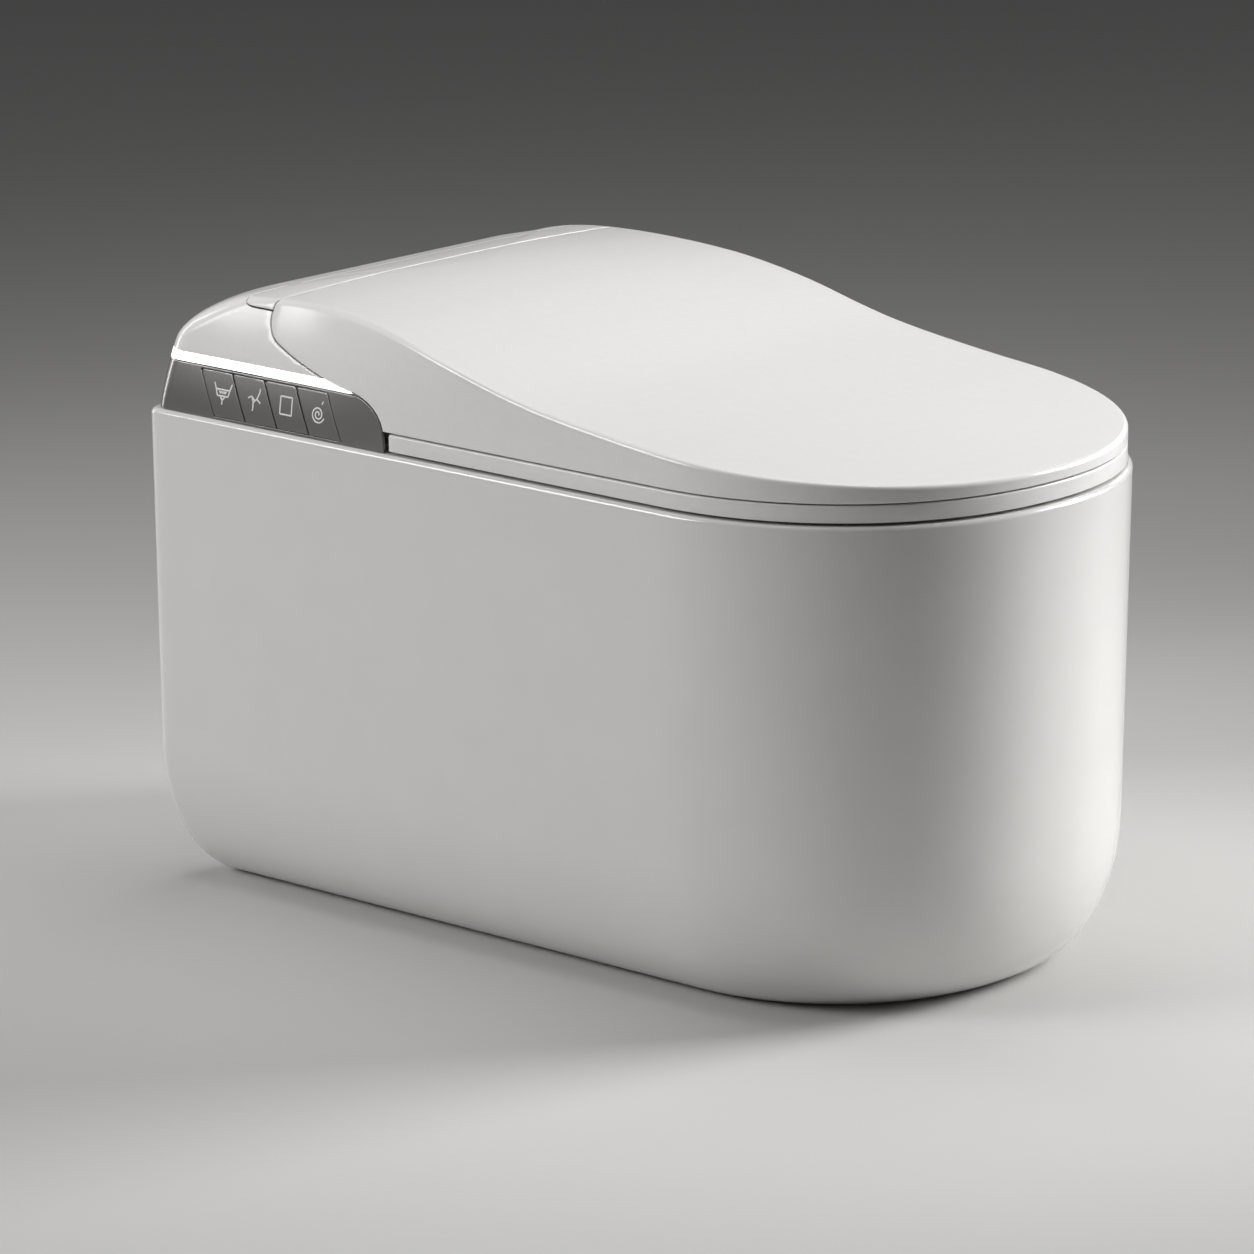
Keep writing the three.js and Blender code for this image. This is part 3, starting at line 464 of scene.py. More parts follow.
def skin_rows(wall_rows, shoulder_rows, crown_rows, **steps):
    """Rings of the outer skin of lid and housing, from its foot to its spine."""
    rows = []

    def inset(y):
        return mix(BAND_INSET, 22, hump(y)) - 11.7 * rearness(y)

    def shoulder_width(y):
        return mix(3.5, 7, hump(y)) + 54.7 * rearness(y)

    def shoulder_height(y):
        return mix(3.5, 6, hump(y)) + 30 * rearness(y)

    def start_angle(y):
        """Where the shoulder's quarter ellipse leans as much as the wall that meets it."""
        wall = edge_height(y) - shoulder_height(y) - HOUSING_BOTTOM
        lean = WALL_POWER * (inset(y) - BAND_INSET) / wall
        return np.arctan(lean * shoulder_height(y) / shoulder_width(y))

    for rise in np.linspace(0, 1, wall_rows):
        outline = plan_outline(mix(CORNERS[0], CORNERS[1], rise), **steps)
        y0 = outline[:, 1]
        lean = rise**WALL_POWER
        moved = moved_in(outline, mix(BAND_INSET, inset(y0), lean), BAND_INSET + REAR_LEAN * lean)
        drop = shoulder_height(y0) * (1 - np.sin(start_angle(y0)))
        top = edge_height(moved[:, 1]) - drop
        rows.append(np.column_stack([moved, mix(HOUSING_BOTTOM, top, rise)]))
    for share in np.linspace(0, 1, shoulder_rows + 1)[1:]:
        rounding = mix(CORNERS[1], CORNERS[2], 1 - math.cos(share * math.pi / 2))
        outline = plan_outline(rounding, **steps)
        y0 = outline[:, 1]
        start = start_angle(y0)
        angle = mix(start, math.pi / 2, share)
        across = shoulder_width(y0) * (np.cos(start) - np.cos(angle))
        moved = moved_in(outline, inset(y0) + across, BAND_INSET + REAR_LEAN + across)
        drop = shoulder_height(y0) * (1 - np.sin(angle))
        rows.append(np.column_stack([moved, edge_height(moved[:, 1]) - drop]))
    edge = rows[-1]
    spine = np.clip(edge[:, 1], NOSE_Y, 200)
    for inward in np.linspace(0, 1, crown_rows + 1)[1:]:
        y = mix(edge[:, 1], spine, inward)
        z = edge_height(y) + mix(3, 5, hump(y)) * (1 - (1 - inward) ** 2)
        rows.append(np.column_stack([edge[:, 0] * (1 - inward), y, z]))
    return rows


def as_patch(rows):
    """Rings as an open patch: points with their normals, and faces, with coinciding points welded."""
    across = len(rows[0])
    points = np.vstack(rows)
    faces = ring_faces(len(rows), across)
    _, first, same = np.unique(
        np.round(points, 3), axis=0, return_index=True, return_inverse=True
    )
    same = same.ravel()
    welded = []
    for face in faces:
        corners = []
        for vertex in face:
            vertex = int(same[vertex])
            if vertex not in corners:
                corners.append(vertex)
        if len(corners) > 2:
            welded.append(tuple(corners))
    points = points[first]
    normals = np.zeros_like(points)
    for face in welded:
        a, b, c = points[face[0]], points[face[1]], points[face[2]]
        d = points[face[-1]]
        normals[list(face)] += np.cross(c - a, d - b) if len(face) > 3 else np.cross(b - a, c - a)
    length = np.linalg.norm(normals, axis=1, keepdims=True)
    return np.hstack([points, normals / np.maximum(length, 1e-9)]), welded


def tidy_patch(points, faces):
    """Drops the points that no face uses."""
    used = sorted({vertex for face in faces for vertex in face})
    place = {vertex: i for i, vertex in enumerate(used)}
    return points[used], [tuple(place[v] for v in face) for face in faces]


def clip(patch, keep):
    """The part of a patch where keep(points) is positive, cut exactly where it is zero."""
    points, faces = patch
    value = keep(points)
    value[np.abs(value) < 0.05] = 0
    level = value.tolist()
    whole, crossing, edges = [], [], {}
    for face in faces:
        values = [level[v] for v in face]
        if min(values) >= 0:
            if max(values) > 0:
                whole.append(face)
        elif max(values) > 0:
            crossing.append(face)
            for a, b in zip(face, face[1:] + face[:1]):
                if level[a] * level[b] < 0:
                    edges.setdefault((min(a, b), max(a, b)), len(edges))
    if edges:
        ends = np.array(list(edges))
        a, b = points[ends[:, 0]], points[ends[:, 1]]
        positive = value[ends[:, 0]] > 0
        low, high = np.zeros(len(ends)), np.ones(len(ends))
        for _ in range(16):
            middle = (low + high) / 2
            sign = keep(mix(a, b, middle[:, None])) > 0
            ahead = sign == positive
            low, high = np.where(ahead, middle, low), np.where(ahead, high, middle)
        points = np.vstack([points, mix(a, b, ((low + high) / 2)[:, None])])
    start = len(level)
    for face in crossing:
        corners = []
        for a, b in zip(face, face[1:] + face[:1]):
            if level[a] >= 0:
                corners.append(a)
            if level[a] * level[b] < 0:
                corners.append(start + edges[(min(a, b), max(a, b))])
        if len(corners) > 2:
            whole.append(tuple(corners))
    return tidy_patch(points, whole)


def moulded_shell(name, patch, walls, roll, thickness, finish, body):
    """A moulded cover: the patch inside all its walls, with rolled edges and an inner face."""
    for wall in walls:
        patch = clip(patch, lambda p, wall=wall: wall(p) - roll)
    points, faces = patch
    place, normal = points[:, :3], points[:, 3:]
    normal = normal / np.linalg.norm(normal, axis=1, keepdims=True)
    directed = {
        (a, b) for face in faces for a, b in zip(face, face[1:] + face[:1])
    }
    border_edges = [(a, b) for a, b in directed if (b, a) not in directed]
    border = sorted({v for edge in border_edges for v in edge})
    at = {v: i for i, v in enumerate(border)}
    p, n = place[border], normal[border]
    outward = np.zeros_like(p)
    for wall in walls:
        here = wall(p)
        step = 0.05
        slope = np.column_stack([(wall(p + step * axis) - here) / step for axis in np.eye(3)])
        along = -(slope - (slope * n).sum(1, keepdims=True) * n)
        along /= np.maximum(np.linalg.norm(along, axis=1, keepdims=True), 1e-6)
        outward[np.abs(here - roll) < 0.15] += along[np.abs(here - roll) < 0.15]
    size = np.linalg.norm(outward, axis=1, keepdims=True)
    outward *= np.minimum(1, 1.45 / np.maximum(size, 1e-6))
    rings = [
        p + outward * roll * math.sin(a) - n * roll * (1 - math.cos(a))
        for a in np.linspace(0, math.pi / 2, 5)[1:]
    ]
    rings.append(p + outward * roll - n * thickness)
    total, width = len(place), len(border)
    made = list(faces)
    for k in range(len(rings)):
        near = (lambda v: v) if k == 0 else (lambda v, k=k: total + (k - 1) * width + at[v])
        for a, b in border_edges:
            far = total + k * width
            made.append((near(b), near(a), far + at[a], far + at[b]))
    last = total + (len(rings) - 1) * width
    inside_start = total + len(rings) * width
    inside = [v for v in range(total) if v not in at]
    inner = {v: inside_start + i for i, v in enumerate(inside)}
    inner.update({v: last + at[v] for v in border})
    made += [tuple(inner[v] for v in face[::-1]) for face in faces]
    everything = np.vstack([place, *rings, (place - normal * thickness)[inside]])
    return make_piece(name, everything, made, finish, body)


# ---------------------------------------------------------------- side-view walls


def bezier(start, a, b, end, count=40):
    t = np.linspace(0, 1, count)[:, None]
    start, a, b, end = (np.array(p, float) for p in (start, a, b, end))
    return (1 - t) ** 3 * start + 3 * (1 - t) ** 2 * t * a + 3 * (1 - t) * t**2 * b + t**3 * end


def outside_of(outline):
    """Signed distance from a closed outline in the side view (Y, Z), positive outside it."""
    a = np.array(outline, float)
    b = np.roll(a, -1, axis=0)
    edge = b - a
    length = np.maximum((edge**2).sum(1), 1e-12)

    def distance(points):
        q = points[:, 1:3]
        near = np.full(len(q), 1e18)
        odd = np.zeros(len(q), bool)
        for start, step, square in zip(a, edge, length):
            t = np.clip(((q - start) @ step) / square, 0, 1)
            gap = q - start - t[:, None] * step
            near = np.minimum(near, (gap**2).sum(1))
            above = (start[1] > q[:, 1]) != (start[1] + step[1] > q[:, 1])
            rise = step[1] if abs(step[1]) > 1e-12 else 1e-12
            odd ^= above & (q[:, 0] < start[0] + step[0] * (q[:, 1] - start[1]) / rise)
        return np.where(odd, -1, 1) * np.sqrt(near)

    return distance


def behind_lid_outline():
    """Everything behind the lid's rear edge: the panel's round front end, a long S and the heel."""
    y, z = LID_AXIS
    join = (y + HEEL_RADIUS * math.cos(HEEL_JOIN), z - HEEL_RADIUS * math.sin(HEEL_JOIN))
    foot = HOUSING_BOTTOM - 3
    heel = [
        (y + HEEL_RADIUS * math.cos(a), z + HEEL_RADIUS * math.sin(a))
        for a in np.linspace(-HEEL_JOIN, math.asin(HEEL_TOP / HEEL_RADIUS), 30)[1:]
    ]
    top_y = y + math.sqrt(HEEL_RADIUS**2 - HEEL_TOP**2)
    return [
        (110, foot),
        *bezier((113, LID_BOTTOM), (117, 396), (131, 404), (151, 407)),
        *bezier((151, 407), (176, 410.5), (206, 419), join)[1:],
        *heel,
        (top_y, 500),
        (REAR_Y + 20, 500),
        (REAR_Y + 20, foot),
    ]


ahead_of_seam = outside_of(behind_lid_outline())


def behind_seam(points):
    return -ahead_of_seam(points) - SEAM


def above(z):
    return lambda points: points[:, 2] - z


def below(z):
    return lambda points: z - points[:, 2]


def out_from(side, x):
    return lambda points: side * points[:, 0] - x


def within(x):
    return lambda points: x - np.abs(points[:, 0])


def top_cover_outline():
    low, back, corner = 452.5, 272, 12
    start, control, end = (back - corner, low), (back, low), (back, low + corner)
    a, b = (mix(np.array(p), np.array(control), 2 / 3) for p in (start, end))
    return [(180, low), *bezier(start, a, b, end, 12), (back, 520), (180, 520)]


outside_top_cover = outside_of(top_cover_outline())

# ---------------------------------------------------------------- lid and housing covers

skin = as_patch(skin_rows(26, 12, 30))
close_skin = as_patch(
    skin_rows(70, 12, 4, back_steps=90, corner_steps=24, side_steps=230, nose_steps=12)
)


def only(patch, test):
    """The faces whose points all pass a quick test."""
    points, faces = patch
    good = test(points).tolist()
    return tidy_patch(points, [face for face in faces if all(good[v] for v in face)])


low_skin = only(close_skin, lambda p: (p[:, 2] < 418) & (p[:, 1] > 95))

lid = moulded_shell(
    "lid_cover",
    skin,
    [ahead_of_seam, above(LID_BOTTOM)],
    0.9,
    LID_WALL,
    WHITE,
    "lid",
)
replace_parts(lid, "lid_shell")
top_cover = moulded_shell(
    "rear_top_cover_moulding",
    skin,
    [behind_seam, lambda p: -outside_top_cover(p)],
    0.7,
    COVER_WALL,
    WHITE,
    "pan",
)
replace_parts(top_cover, "rear_top_cover")


def above_light(points):
    """Above the light guides at the sides, and above the service panel at the back."""
    aside = ease(np.abs(points[:, 0]), PANEL_ENDS - 1.5, PANEL_ENDS + 0.5)
    return points[:, 2] - mix(SERVICE_PANEL_TOP, GUIDE_TOP, aside) - 0.3


housing = moulded_shell(
    "housing_moulding",
    skin,
    [behind_seam, above_light, lambda p: outside_top_cover(p) - SEAM],
    0.6,
    COVER_WALL,
    WHITE,
    "pan",
)
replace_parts(housing, "housing_shell")

for side, name in ((-1, "left"), (1, "right")):
    half = only(low_skin, lambda p: side * p[:, 0] > PANEL_ENDS - 8)
    guide = moulded_shell(
        f"light_guide_{name}",
        half,
        [behind_seam, above(GUIDE_BOTTOM), below(GUIDE_TOP), out_from(side, PANEL_ENDS)],
        0.4,
        GUIDE_WALL,
        GLOW,
        "pan",
    )
    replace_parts(guide, f"light_bar_{name}")


# ---------------------------------------------------------------- control panel and keys


def key_outline(index, grow):
    """A leaning parallelogram in the side view."""
    foot_rear = KEY_REAR_Y - index * KEY_PITCH - KEY_GAP + grow
    foot_front = KEY_REAR_Y - (index + 1) * KEY_PITCH + KEY_GAP - grow
    low, high = HOUSING_BOTTOM + 1.8 - grow, PANEL_TOP - 1.6 + grow

    def lean(z):
        return (z - HOUSING_BOTTOM) / (PANEL_TOP - HOUSING_BOTTOM) * KEY_SLANT

    return [
        (foot_front + lean(low), low),
        (foot_rear + lean(low), low),
        (foot_rear + lean(high), high),
        (foot_front + lean(high), high),
    ]


left_skin = only(low_skin, lambda p: p[:, 0] < -PANEL_ENDS + 8)
right_skin = only(low_skin, lambda p: p[:, 0] > PANEL_ENDS - 8)
windows = [outside_of(key_outline(i, 0.3)) for i in range(KEY_COUNT)]
panel = moulded_shell(
    "control_panel_moulding",
    left_skin,
    [behind_seam, above(HOUSING_BOTTOM), below(PANEL_TOP), out_from(-1, PANEL_ENDS), *windows],
    0.25,
    COVER_WALL,
    LACQUER,
    "pan",
)
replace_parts(panel, "control_panel")
trim = moulded_shell(
    "panel_trim_moulding",
    right_skin,
    [behind_seam, above(HOUSING_BOTTOM), below(PANEL_TOP), out_from(1, PANEL_ENDS)],
    0.5,
    COVER_WALL,
    LACQUER,
    "pan",
)
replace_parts(trim, "panel_trim_right")

KEYS = [
    ("key_front_wash", "front_wash_key"),
    ("key_rear_wash", "rear_wash_key"),
    ("key_stop", "stop_key"),
    ("key_flush", "flush_key"),
]
for index, (node, body) in enumerate(KEYS):
    outline = outside_of(key_outline(index, -0.2))
    cap = moulded_shell(
        f"{node}_cap",
        left_skin,
        [lambda p, outline=outline: -outline(p)],
        0.35,
        KEY_WALL,
        LACQUER,
        body,
    )
    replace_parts(cap, node)

# ---------------------------------------------------------------- symbols on the keys

skin_tree = BVHTree.FromPolygons(left_skin[0][:, :3].tolist(), left_skin[1])


def on_panel(y, z):
    """The point of the panel's face at that place in the side view, and its normal."""
    hit, normal, _, _ = skin_tree.ray_cast(Vector((-400, y, z)), Vector((1, 0, 0)))
    return np.array(hit), np.array(normal)


def stroke(centre, line, width):
    """A raised ribbon of ink along a line drawn in the key's own plane, right and up."""
    line = np.array(line, float)
    gaps = np.linalg.norm(np.diff(line, axis=0), axis=1)
    distance = np.concatenate([[0], np.cumsum(gaps)])
    count = max(int(distance[-1] / 0.5), 2)
    steps = np.linspace(0, distance[-1], count)
    path = np.column_stack([np.interp(steps, distance, line[:, i]) for i in (0, 1)])
    ahead = np.gradient(path, axis=0)
    ahead /= np.maximum(np.linalg.norm(ahead, axis=1, keepdims=True), 1e-9)
    side = np.column_stack([-ahead[:, 1], ahead[:, 0]]) * width / 2
    points, faces = [], []
    for (u, v), (du, dv) in zip(path, side):
        top, foot = SYMBOL_HEIGHT, -0.2
        for sign, height in ((1, top), (-1, top), (-1, foot), (1, foot)):
            y, z = centre[0] - (u + sign * du), centre[1] + v + sign * dv
            place, normal = on_panel(y, z)
            points.append(place + normal * height)
    for i in range(len(path) - 1):
        for k in range(4):
            a, b = 4 * i + k, 4 * i + (k + 1) % 4
            faces.append((a, a + 4, b + 4, b))
    faces.append((0, 1, 2, 3))
    end = 4 * (len(path) - 1)
    faces.append((end + 3, end + 2, end + 1, end))
    return points, faces


def arc(x, y, radius, start, end, count=24, growth=0):
    angles = np.radians(np.linspace(start, end, count))
    radii = radius + growth * np.linspace(0, 1, count)
    return [(x + r * math.cos(a), y + r * math.sin(a)) for a, r in zip(angles, radii)]


SYMBOLS = {
    "key_front_wash": [
        [(-9, 7.2), (-6.9, 2.6), (-5.4, -2.2), (5.6, -2.2), (7.1, 2.6), (9.1, 7.4)],
        [(-6.9, 2.6), (7.1, 2.6)],
        [(-3.6, 1.6), (-2.4, -0.4), (-1.2, 1.4), (0, -0.4), (1.2, 1.4), (2.4, -0.4), (3.6, 1.6)],
        [(-2.2, -2.8), (0, -5.2), (2.2, -2.8)],
        [(0, -5.2), (-0.3, -8.4)],
    ],
    "key_rear_wash": [
        [(5.4, 8.6), (5.0, 5.4), (2.6, 0.6), (-0.8, -2.4)],
        [(2.6, 0.6), (6.4, -2.2)],
        [(-0.8, -2.4), (-2.8, 2.2), (-6.4, 0.4)],
        [(-2.8, 2.2), (1.2, -1.4)],
        [(-1.0, -2.6), (-0.8, -6.0), (-1.4, -8.6)],
    ],
    "key_stop": [
        [(-5.9, -6.6), (5.9, -6.6), (5.9, 6.6), (-5.9, 6.6), (-5.9, -6.6)],
    ],
    "key_flush": [
        arc(0, -1.5, 0.8, -40, 700, 80, 5.8),
        [(3.4, 6.2), (4.6, 8.6)],
    ],
}
key_middle_z = (HOUSING_BOTTOM + PANEL_TOP) / 2 + 1.5
for index, (node, body) in enumerate(KEYS):
    middle_y = KEY_REAR_Y - (index + 0.5) * KEY_PITCH + KEY_SLANT / 2
    points, faces = [], []
    for line in SYMBOLS[node]:
        more, quads = stroke((middle_y, key_middle_z), line, SYMBOL_WIDTH)
        faces += [tuple(v + len(points) for v in quad) for quad in quads]
        points += more
    make_piece(f"{node}_symbol", points, faces, INK, body)


# ---------------------------------------------------------------- rear service panel


def outside_hole(centre, radius):
    def distance(points):
        return np.hypot(points[:, 0] - centre[0], points[:, 2] - centre[1]) - radius

    return distance


rear_skin = only(low_skin, lambda p: (np.abs(p[:, 0]) < PANEL_ENDS + 6) & (p[:, 1] > 300))
service_panel = moulded_shell(
    "rear_service_moulding",
    rear_skin,
    [
        above(HOUSING_BOTTOM),
        below(SERVICE_PANEL_TOP),
        within(PANEL_ENDS - 0.5),
        outside_hole(INLET, INLET_HOLE),
        outside_hole(GLAND, GLAND_HOLE),
    ],
    0.5,
    COVER_WALL,
    SATIN,
    "pan",
)
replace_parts(service_panel, "rear_service_panel")

# ---------------------------------------------------------------- seat ring


def seat_ring():
    """The seat's upper moulding: round edges, a dished top and a hollow underside."""
    hole_y, hole_width, hole_length = -125, 108, 150
    dish_reach, dish_depth, lip = 38, 3, 5  # round the hole
    wall, edge, roof = 3, 1.3, 373.6
    power = 2 / NOSE_POWER

    def outer(inset, z):
        side = BAND_INSET + inset
        width, nose = HALF_WIDTH - side, NOSE_LENGTH - side
        rear, corner = SEAT_REAR_Y - inset, 2
        back = [(x, rear) for x in np.linspace(0, corner - width, 25)[:-1]]
        turn = [
            (-width + corner * (1 - math.sin(a)), rear - corner + corner * math.cos(a))
            for a in np.linspace(0, math.pi / 2, 9)[:-1]
        ]
        sides = [(-width, y) for y in np.linspace(rear - corner, NOSE_Y, 31)[:-1]]
        tip = [
            (-width * max(math.cos(a), 0) ** power, NOSE_Y - nose * math.sin(a) ** power)
            for a in np.linspace(0, math.pi / 2, 57)
        ]
        half = np.array(back + turn + sides + tip)
        ring = np.vstack([half, half[-2:0:-1] * (-1, 1)])
        return np.column_stack([ring, np.full(len(ring), z)])

    base = outer(0, 0)
    angle = np.arctan2(base[:, 1] - hole_y, base[:, 0])

    def hole(grow, z):
        a, b = hole_width + grow, hole_length + grow
        radius = 1 / np.sqrt((np.cos(angle) / a) ** 2 + (np.sin(angle) / b) ** 2)
        x, y = radius * np.cos(angle), hole_y + radius * np.sin(angle)
        return np.column_stack([x, y, np.full(len(angle), z)])

    rings = [outer(wall, SEAT_BOTTOM), outer(0.7, SEAT_BOTTOM), outer(0.2, SEAT_BOTTOM + 0.25)]
    rings += [outer(0, SEAT_BOTTOM + 0.8), outer(0, SEAT_TOP - edge)]
    for a in np.linspace(0, math.pi / 2, 7)[1:]:
        rings.append(
            outer(edge * (1 - math.cos(a)), SEAT_TOP - edge * (1 - math.sin(a)))
        )
    rings.append(outer(edge + 1, SEAT_TOP))
    flat = hole(dish_reach, SEAT_TOP)
    for share in (0.5, 1):
        rings.append(mix(outer(edge + 1, SEAT_TOP), flat, share))
    for share in np.linspace(0, 1, 13)[1:]:
        z = SEAT_TOP - dish_depth * ease(share, 0, 1)
        rings.append(hole(mix(dish_reach, lip, share), z))
    for a in np.linspace(0, math.pi / 2, 8)[1:]:
        z = SEAT_TOP - dish_depth - lip * (1 - math.cos(a))
        rings.append(hole(lip * (1 - math.sin(a)), z))
    rings += [hole(0, SEAT_BOTTOM + 0.8), hole(0.2, SEAT_BOTTOM + 0.25), hole(0.7, SEAT_BOTTOM)]
    rings += [hole(wall, SEAT_BOTTOM), hole(wall, roof), outer(wall, roof)]
    rings.append(rings[0])
    across = len(base)
    count = len(rings) - 1
    faces = [
        tuple(v % (count * across) for v in face) for face in ring_faces(count + 1, across)
    ]
    return make_piece(
        "seat_ring_moulding",
        np.vstack(rings[:-1]),
        faces,
        WHITE,
        "seat",
    )


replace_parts(seat_ring(), "seat_top")

# ---------------------------------------------------------------- ceramic pan


def level(points, z):
    return np.column_stack([points, np.full(len(points), z)])


def foot_inset(z):
    under = max(FOOT_RISE - z, 0) / FOOT_RISE
    return SKIRT_DRAFT * (1 - z / RIM_Z) + FOOT_TUCK * (1 - math.sqrt(1 - under * under))


def skirt_rings(wall, bottom, top):
    """The skirt's outer face, or its inner face one wall further in."""
    outline = plan_outline(PAN_CORNER)
    heights = [FOOT_RISE * (1 - math.cos(a)) for a in np.linspace(0, math.pi / 2, 21)]
    heights += list(np.linspace(FOOT_RISE, top, 6)[1:])
    rings = []
    for z in heights:
        inset = foot_inset(z) + wall
        rings.append(level(moved_in(outline, inset, inset * 0.6), z if z else bottom))
    return rings


def oval(half_width, half_length, y, z, count=96):
    angles = np.linspace(0, 2 * math.pi, count, endpoint=False) + math.pi / 2
    x = half_width * np.cos(angles)
    return np.column_stack([x, y + half_length * np.sin(angles), np.full(count, z)])


def bowl_rings(wall, mouth_z, lip):
    """The bowl from its sump up: its inner face, or its outer one a wall further out."""
    half_width, half_length, mouth_y = 125, 205, -100
    sump_y, sump_z = -85, 96
    rings = []
    for depth in np.linspace(1, 0, 25):
        shrink = math.cos(depth * 1.35) ** 0.8
        z = mix(sump_z - wall, mouth_z, 1 - depth)
        y = mix(mouth_y, sump_y, depth)
        rings.append(oval(half_width * shrink + wall, half_length * shrink + wall, y, z))
    if lip:
        rings.pop()
        for a in np.linspace(0, math.pi / 2, 8):
            spread = lip * (1 - math.cos(a))
            z = RIM_Z - lip + lip * math.sin(a)
            rings.append(oval(124.6 + spread, 204.5 + spread, mouth_y, z))
        rings.append(oval(130.6, 210.5, mouth_y, RIM_Z + 0.4))
        rings.append(oval(132, 212, mouth_y, RIM_Z + 3))
    return rings


def rounded_block(x0, x1, y0, y1, z0, z1, corner=8):
    points = []
    for cx, cy, start in (
        (x1 - corner, y1 - corner, 0),
        (x0 + corner, y1 - corner, 90),
        (x0 + corner, y0 + corner, 180),
        (x1 - corner, y0 + corner, 270),
    ):
        points += arc(cx, cy, corner, start, start + 90, 7)
    ring = np.array(points)
    return [level(ring, z0), level(ring, z1)]


def trapway_rings(radius, ends):
    """A round passage from the sump over the weir and down to the floor."""
    route = np.array(
        [
            (-95 - ends, 122),
            (-50, 96),
            (0, 108),
            (34, 160),
            (80, 196),
            (116, 160),
            (104, 96),
            (64, 50),
            (50, -ends),
        ],
        float,
    )
    path = smooth_curve(route, 60)
    ahead = np.gradient(path, axis=0)
    ahead /= np.linalg.norm(ahead, axis=1, keepdims=True)
    rings = []
    for (y, z), (dy, dz) in zip(path, ahead):
        angles = np.linspace(0, 2 * math.pi, 32, endpoint=False)
        x = radius * np.cos(angles)
        out = radius * np.sin(angles)
        rings.append(np.column_stack([x, y + out * dz, z - out * dy]))
    return rings


def ceramic_pan():
    """The casting: a hollow skirt with the bowl, its trapway and the wand pocket joined in."""
    edge = PAN_EDGE
    rings = skirt_rings(0, 0, RIM_Z - edge)
    outline = plan_outline(PAN_CORNER)
    for a in np.linspace(0, math.pi / 2, 8)[1:]:
        inset = edge * (1 - math.cos(a))
        z = RIM_Z - edge * (1 - math.sin(a))
        rings.append(level(moved_in(outline, inset, inset), z))
    rings.append(level(moved_in(outline, edge + 1.2, edge + 1.2), RIM_Z))
    pan = lofted_solid("pan_casting", rings)
    hull = lofted_solid("pan_hull", rings)
    fillings = lofted_solid("pan_fillings", bowl_rings(10, RIM_Z, 0))
    for name, filling in (
        ("pan_trapway_wall", trapway_rings(34, 0)),
        ("pan_pocket_wall", rounded_block(-58, 90, 50, 194, 308, 361)),
    ):
        combine(fillings, lofted_solid(name, filling), "UNION")
    combine(fillings, hull, "INTERSECT")
    cavity = skirt_rings(PAN_WALL, -5, RIM_Z - 14)
    combine(pan, lofted_solid("pan_cavity", cavity), "DIFFERENCE")
    combine(pan, fillings, "UNION")
    for name, opening in (
        ("pan_bowl", bowl_rings(0, RIM_Z + 1, 5)),
        ("pan_trapway", trapway_rings(25, 8)),
        ("pan_pocket", rounded_block(-48, 80, 50, 186, 318, 371)),
    ):
        combine(pan, lofted_solid(name, opening), "DIFFERENCE")
    pan.data.shade_smooth()
    pan.data.set_sharp_from_angle(angle=math.radians(32))
    pan.data.materials.clear()
    pan.data.materials.append(CHINA)
    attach(pan, "pan")
    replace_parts(pan, "ceramic_pan")


ceramic_pan()

# ---------------------------------------------------------------- cover screws


def screw_head():
    """A pan head one unit wide with a cross recess, standing on Z = 0."""
    count = 24
    angles = np.linspace(0, 2 * math.pi, count, endpoint=False)
    cross = 0.16 + 0.14 * np.abs(np.cos(2 * angles)) ** 3
    profile = [(0.5, 0), (0.5, 0.1), (0.46, 0.19), (0.38, 0.24)]
    rings = [(np.full(count, radius), z) for radius, z in profile]
    rings += [(cross, 0.26), (cross * 0.9, 0.1)]
    points = np.vstack(
        [
            np.column_stack([radius * np.cos(angles), radius * np.sin(angles), np.full(count, z)])
            for radius, z in rings
        ]
    )
    faces = ring_faces(len(rings), count)
    last = (len(rings) - 1) * count
    faces += [tuple(range(last, last + count)), tuple(range(count))[::-1]]
    mesh = bpy.data.meshes.new("screw_head")
    mesh.from_pydata(points.tolist(), [], faces)
    return bpy.data.objects.new("screw_head", mesh)


def screw_row_tree():
    """Geometry nodes: one head on each point, turned to face the way the point says."""
    tree = bpy.data.node_groups.new("screw_row", "GeometryNodeTree")
    for label, kind in (
        ("Points", "NodeSocketGeometry"),
        ("Head", "NodeSocketObject"),
        ("Head width", "NodeSocketFloat"),
        ("Finish", "NodeSocketMaterial"),
    ):
        tree.interface.new_socket(label, in_out="INPUT", socket_type=kind)
    tree.interface.new_socket("Screws", in_out="OUTPUT", socket_type="NodeSocketGeometry")
    nodes = {
        label: tree.nodes.new(kind)
        for label, kind in (
            ("in", "NodeGroupInput"),
            ("head", "GeometryNodeObjectInfo"),
            ("facing", "GeometryNodeInputNamedAttribute"),
            ("turn", "FunctionNodeAlignRotationToVector"),
            ("put", "GeometryNodeInstanceOnPoints"),
            ("real", "GeometryNodeRealizeInstances"),
            ("paint", "GeometryNodeSetMaterial"),
            ("out", "NodeGroupOutput"),
        )
    }
    nodes["facing"].data_type = "FLOAT_VECTOR"
    nodes["facing"].inputs["Name"].default_value = "facing"
    nodes["turn"].axis = "Z"
    for source, output, target, socket in (
        ("in", "Points", "put", "Points"),
        ("in", "Head", "head", "Object"),
        ("head", "Geometry", "put", "Instance"),
        ("facing", "Attribute", "turn", "Vector"),
        ("turn", "Rotation", "put", "Rotation"),
        ("in", "Head width", "put", "Scale"),
        ("put", "Instances", "real", "Geometry"),
        ("real", "Geometry", "paint", "Geometry"),
        ("in", "Finish", "paint", "Material"),
        ("paint", "Geometry", "out", "Screws"),
    ):
        tree.links.new(nodes[source].outputs[output], nodes[target].inputs[socket])
    return tree


SCREW_HEAD = screw_head()
SCREW_TREE = screw_row_tree()


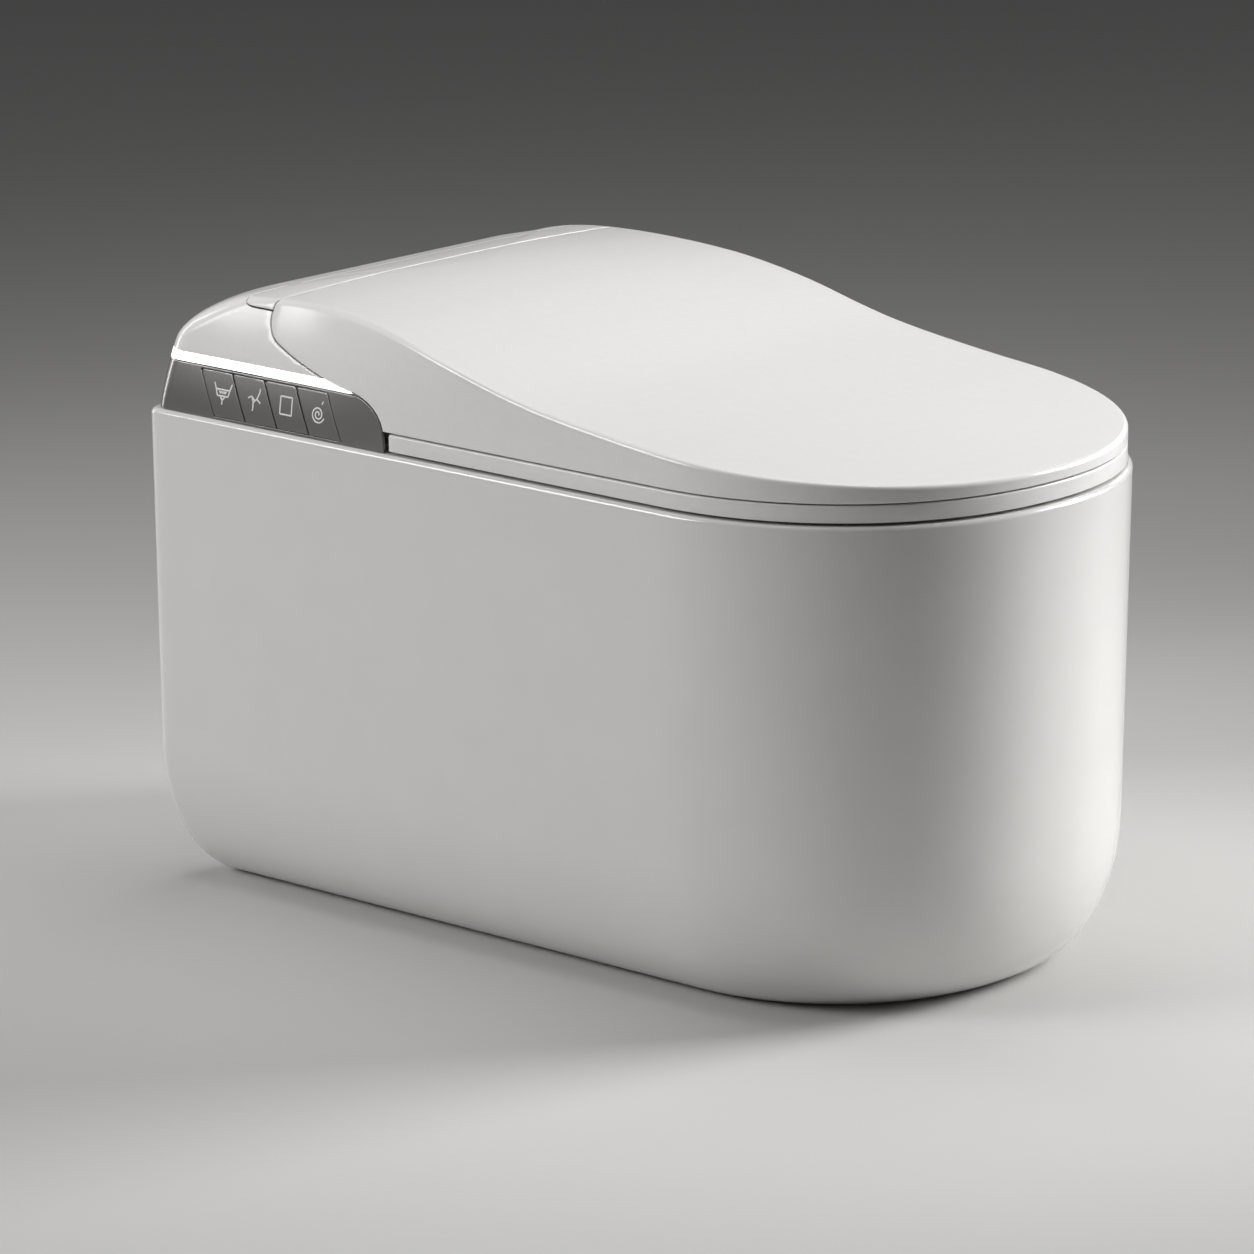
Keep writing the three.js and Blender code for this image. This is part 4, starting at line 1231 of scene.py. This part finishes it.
def screw_row(name, places, facing, width, body):
    """Screws at those places in millimetres, all facing one way."""
    mesh = bpy.data.meshes.new(name)
    mesh.from_pydata((np.array(places, float) * MM).tolist(), [], [])
    mesh.attributes.new("facing", "FLOAT_VECTOR", "POINT")
    mesh.attributes["facing"].data.foreach_set("vector", list(facing) * len(places))
    points = bpy.data.objects.new(name + "_points", mesh)
    bpy.context.scene.collection.objects.link(points)
    step = points.modifiers.new("screws", "NODES")
    step.node_group = SCREW_TREE
    values = {"Head": SCREW_HEAD, "Head width": width * MM, "Finish": STEEL}
    for item in SCREW_TREE.interface.items_tree:
        if item.in_out == "INPUT" and item.name in values:
            step[item.identifier] = values[item.name]
    evaluated = points.evaluated_get(bpy.context.evaluated_depsgraph_get())
    made = bpy.data.meshes.new_from_object(evaluated)
    bpy.data.objects.remove(points)
    made.shade_smooth()
    made.set_sharp_from_angle(angle=math.radians(30))
    piece = bpy.data.objects.new(name, made)
    bpy.context.scene.collection.objects.link(piece)
    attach(piece, body)


rear_tree = BVHTree.FromPolygons(rear_skin[0][:, :3].tolist(), rear_skin[1])


def on_rear_panel(x, z):
    hit = rear_tree.ray_cast(Vector((x, 500, z)), Vector((0, -1, 0)))[0]
    return (x, hit.y - 0.3, z)


screw_row(
    "service_panel_screws",
    [on_rear_panel(x, z) for x in (-138, 0, 138) for z in (376, 403)],
    (0, 1, 0),
    7,
    "pan",
)
screw_row(
    "seat_base_screws",
    [
        (138 * math.cos(a), -125 + 178 * math.sin(a), SEAT_BOTTOM)
        for a in np.radians([15, 55, 125, 165, 205, 250, 290, 335])
    ],
    (0, 0, -1),
    6,
    "seat",
)
screw_row(
    "lid_liner_screws",
    [(side * x, y, 385) for side in (-1, 1) for x, y in ((168, -90), (96, -290), (172, 0))],
    (0, 0, -1),
    6,
    "lid",
)

# ---------------------------------------------------------------- floor, backdrop and light


def studio_floor():
    """A wide plain floor, a round sheet of matt pale paint."""
    finish, _ = surface("matt_pale_floor_paint", "#c9c8c6", 0.75)
    edge = [(12 * math.cos(a), 12 * math.sin(a), 0) for a in np.linspace(0, 2 * math.pi, 65)[:-1]]
    mesh = bpy.data.meshes.new("studio_floor")
    mesh.from_pydata(edge, [], [tuple(range(64))])
    mesh.materials.append(finish)
    floor = bpy.data.objects.new("studio_floor", mesh)
    bpy.context.scene.collection.objects.link(floor)


def area_light(name, place, target, size, power, spread=180):
    light = bpy.data.lights.new(name, "AREA")
    light.spread = math.radians(spread)
    light.shape, light.size, light.size_y = "RECTANGLE", *size
    light.energy = power
    lamp = bpy.data.objects.new(name, light)
    lamp.location = place
    lamp.rotation_mode = "QUATERNION"
    lamp.rotation_quaternion = (Vector(target) - Vector(place)).to_track_quat("-Z", "Y")
    bpy.context.scene.collection.objects.link(lamp)


studio_floor()
area_light("overhead_softbox", (0.1, 0.35, 2.3), (0, 0.1, 0.4), (1.6, 1.6), 21)
area_light("left_softbox", (-2.75, 2.05, 1.9), (0, 0, 0.3), (1.6, 1.6), 11.5, 70)
area_light("right_softbox", (1.83, -1.21, 1.1), (0, -0.45, 0.28), (0.9, 1.2), 10.5, 60)
area_light("rear_softbox", (2.6, 0.55, 1.3), (0, -0.1, 0.4), (1.0, 0.5), 0.7, 80)
area_light("corner_strip", (-0.3, 2.3, 0.75), (-0.1, 0.2, 0.4), (0.3, 1.4), 3, 120)
world = bpy.data.worlds.new("studio_air")
world.use_nodes = True
world.node_tree.nodes["Background"].inputs["Color"].default_value = linear("#f2f3f5")
world.node_tree.nodes["Background"].inputs["Strength"].default_value = 0.08
bpy.context.scene.world = world
bpy.context.scene.view_settings.view_transform = "Standard"
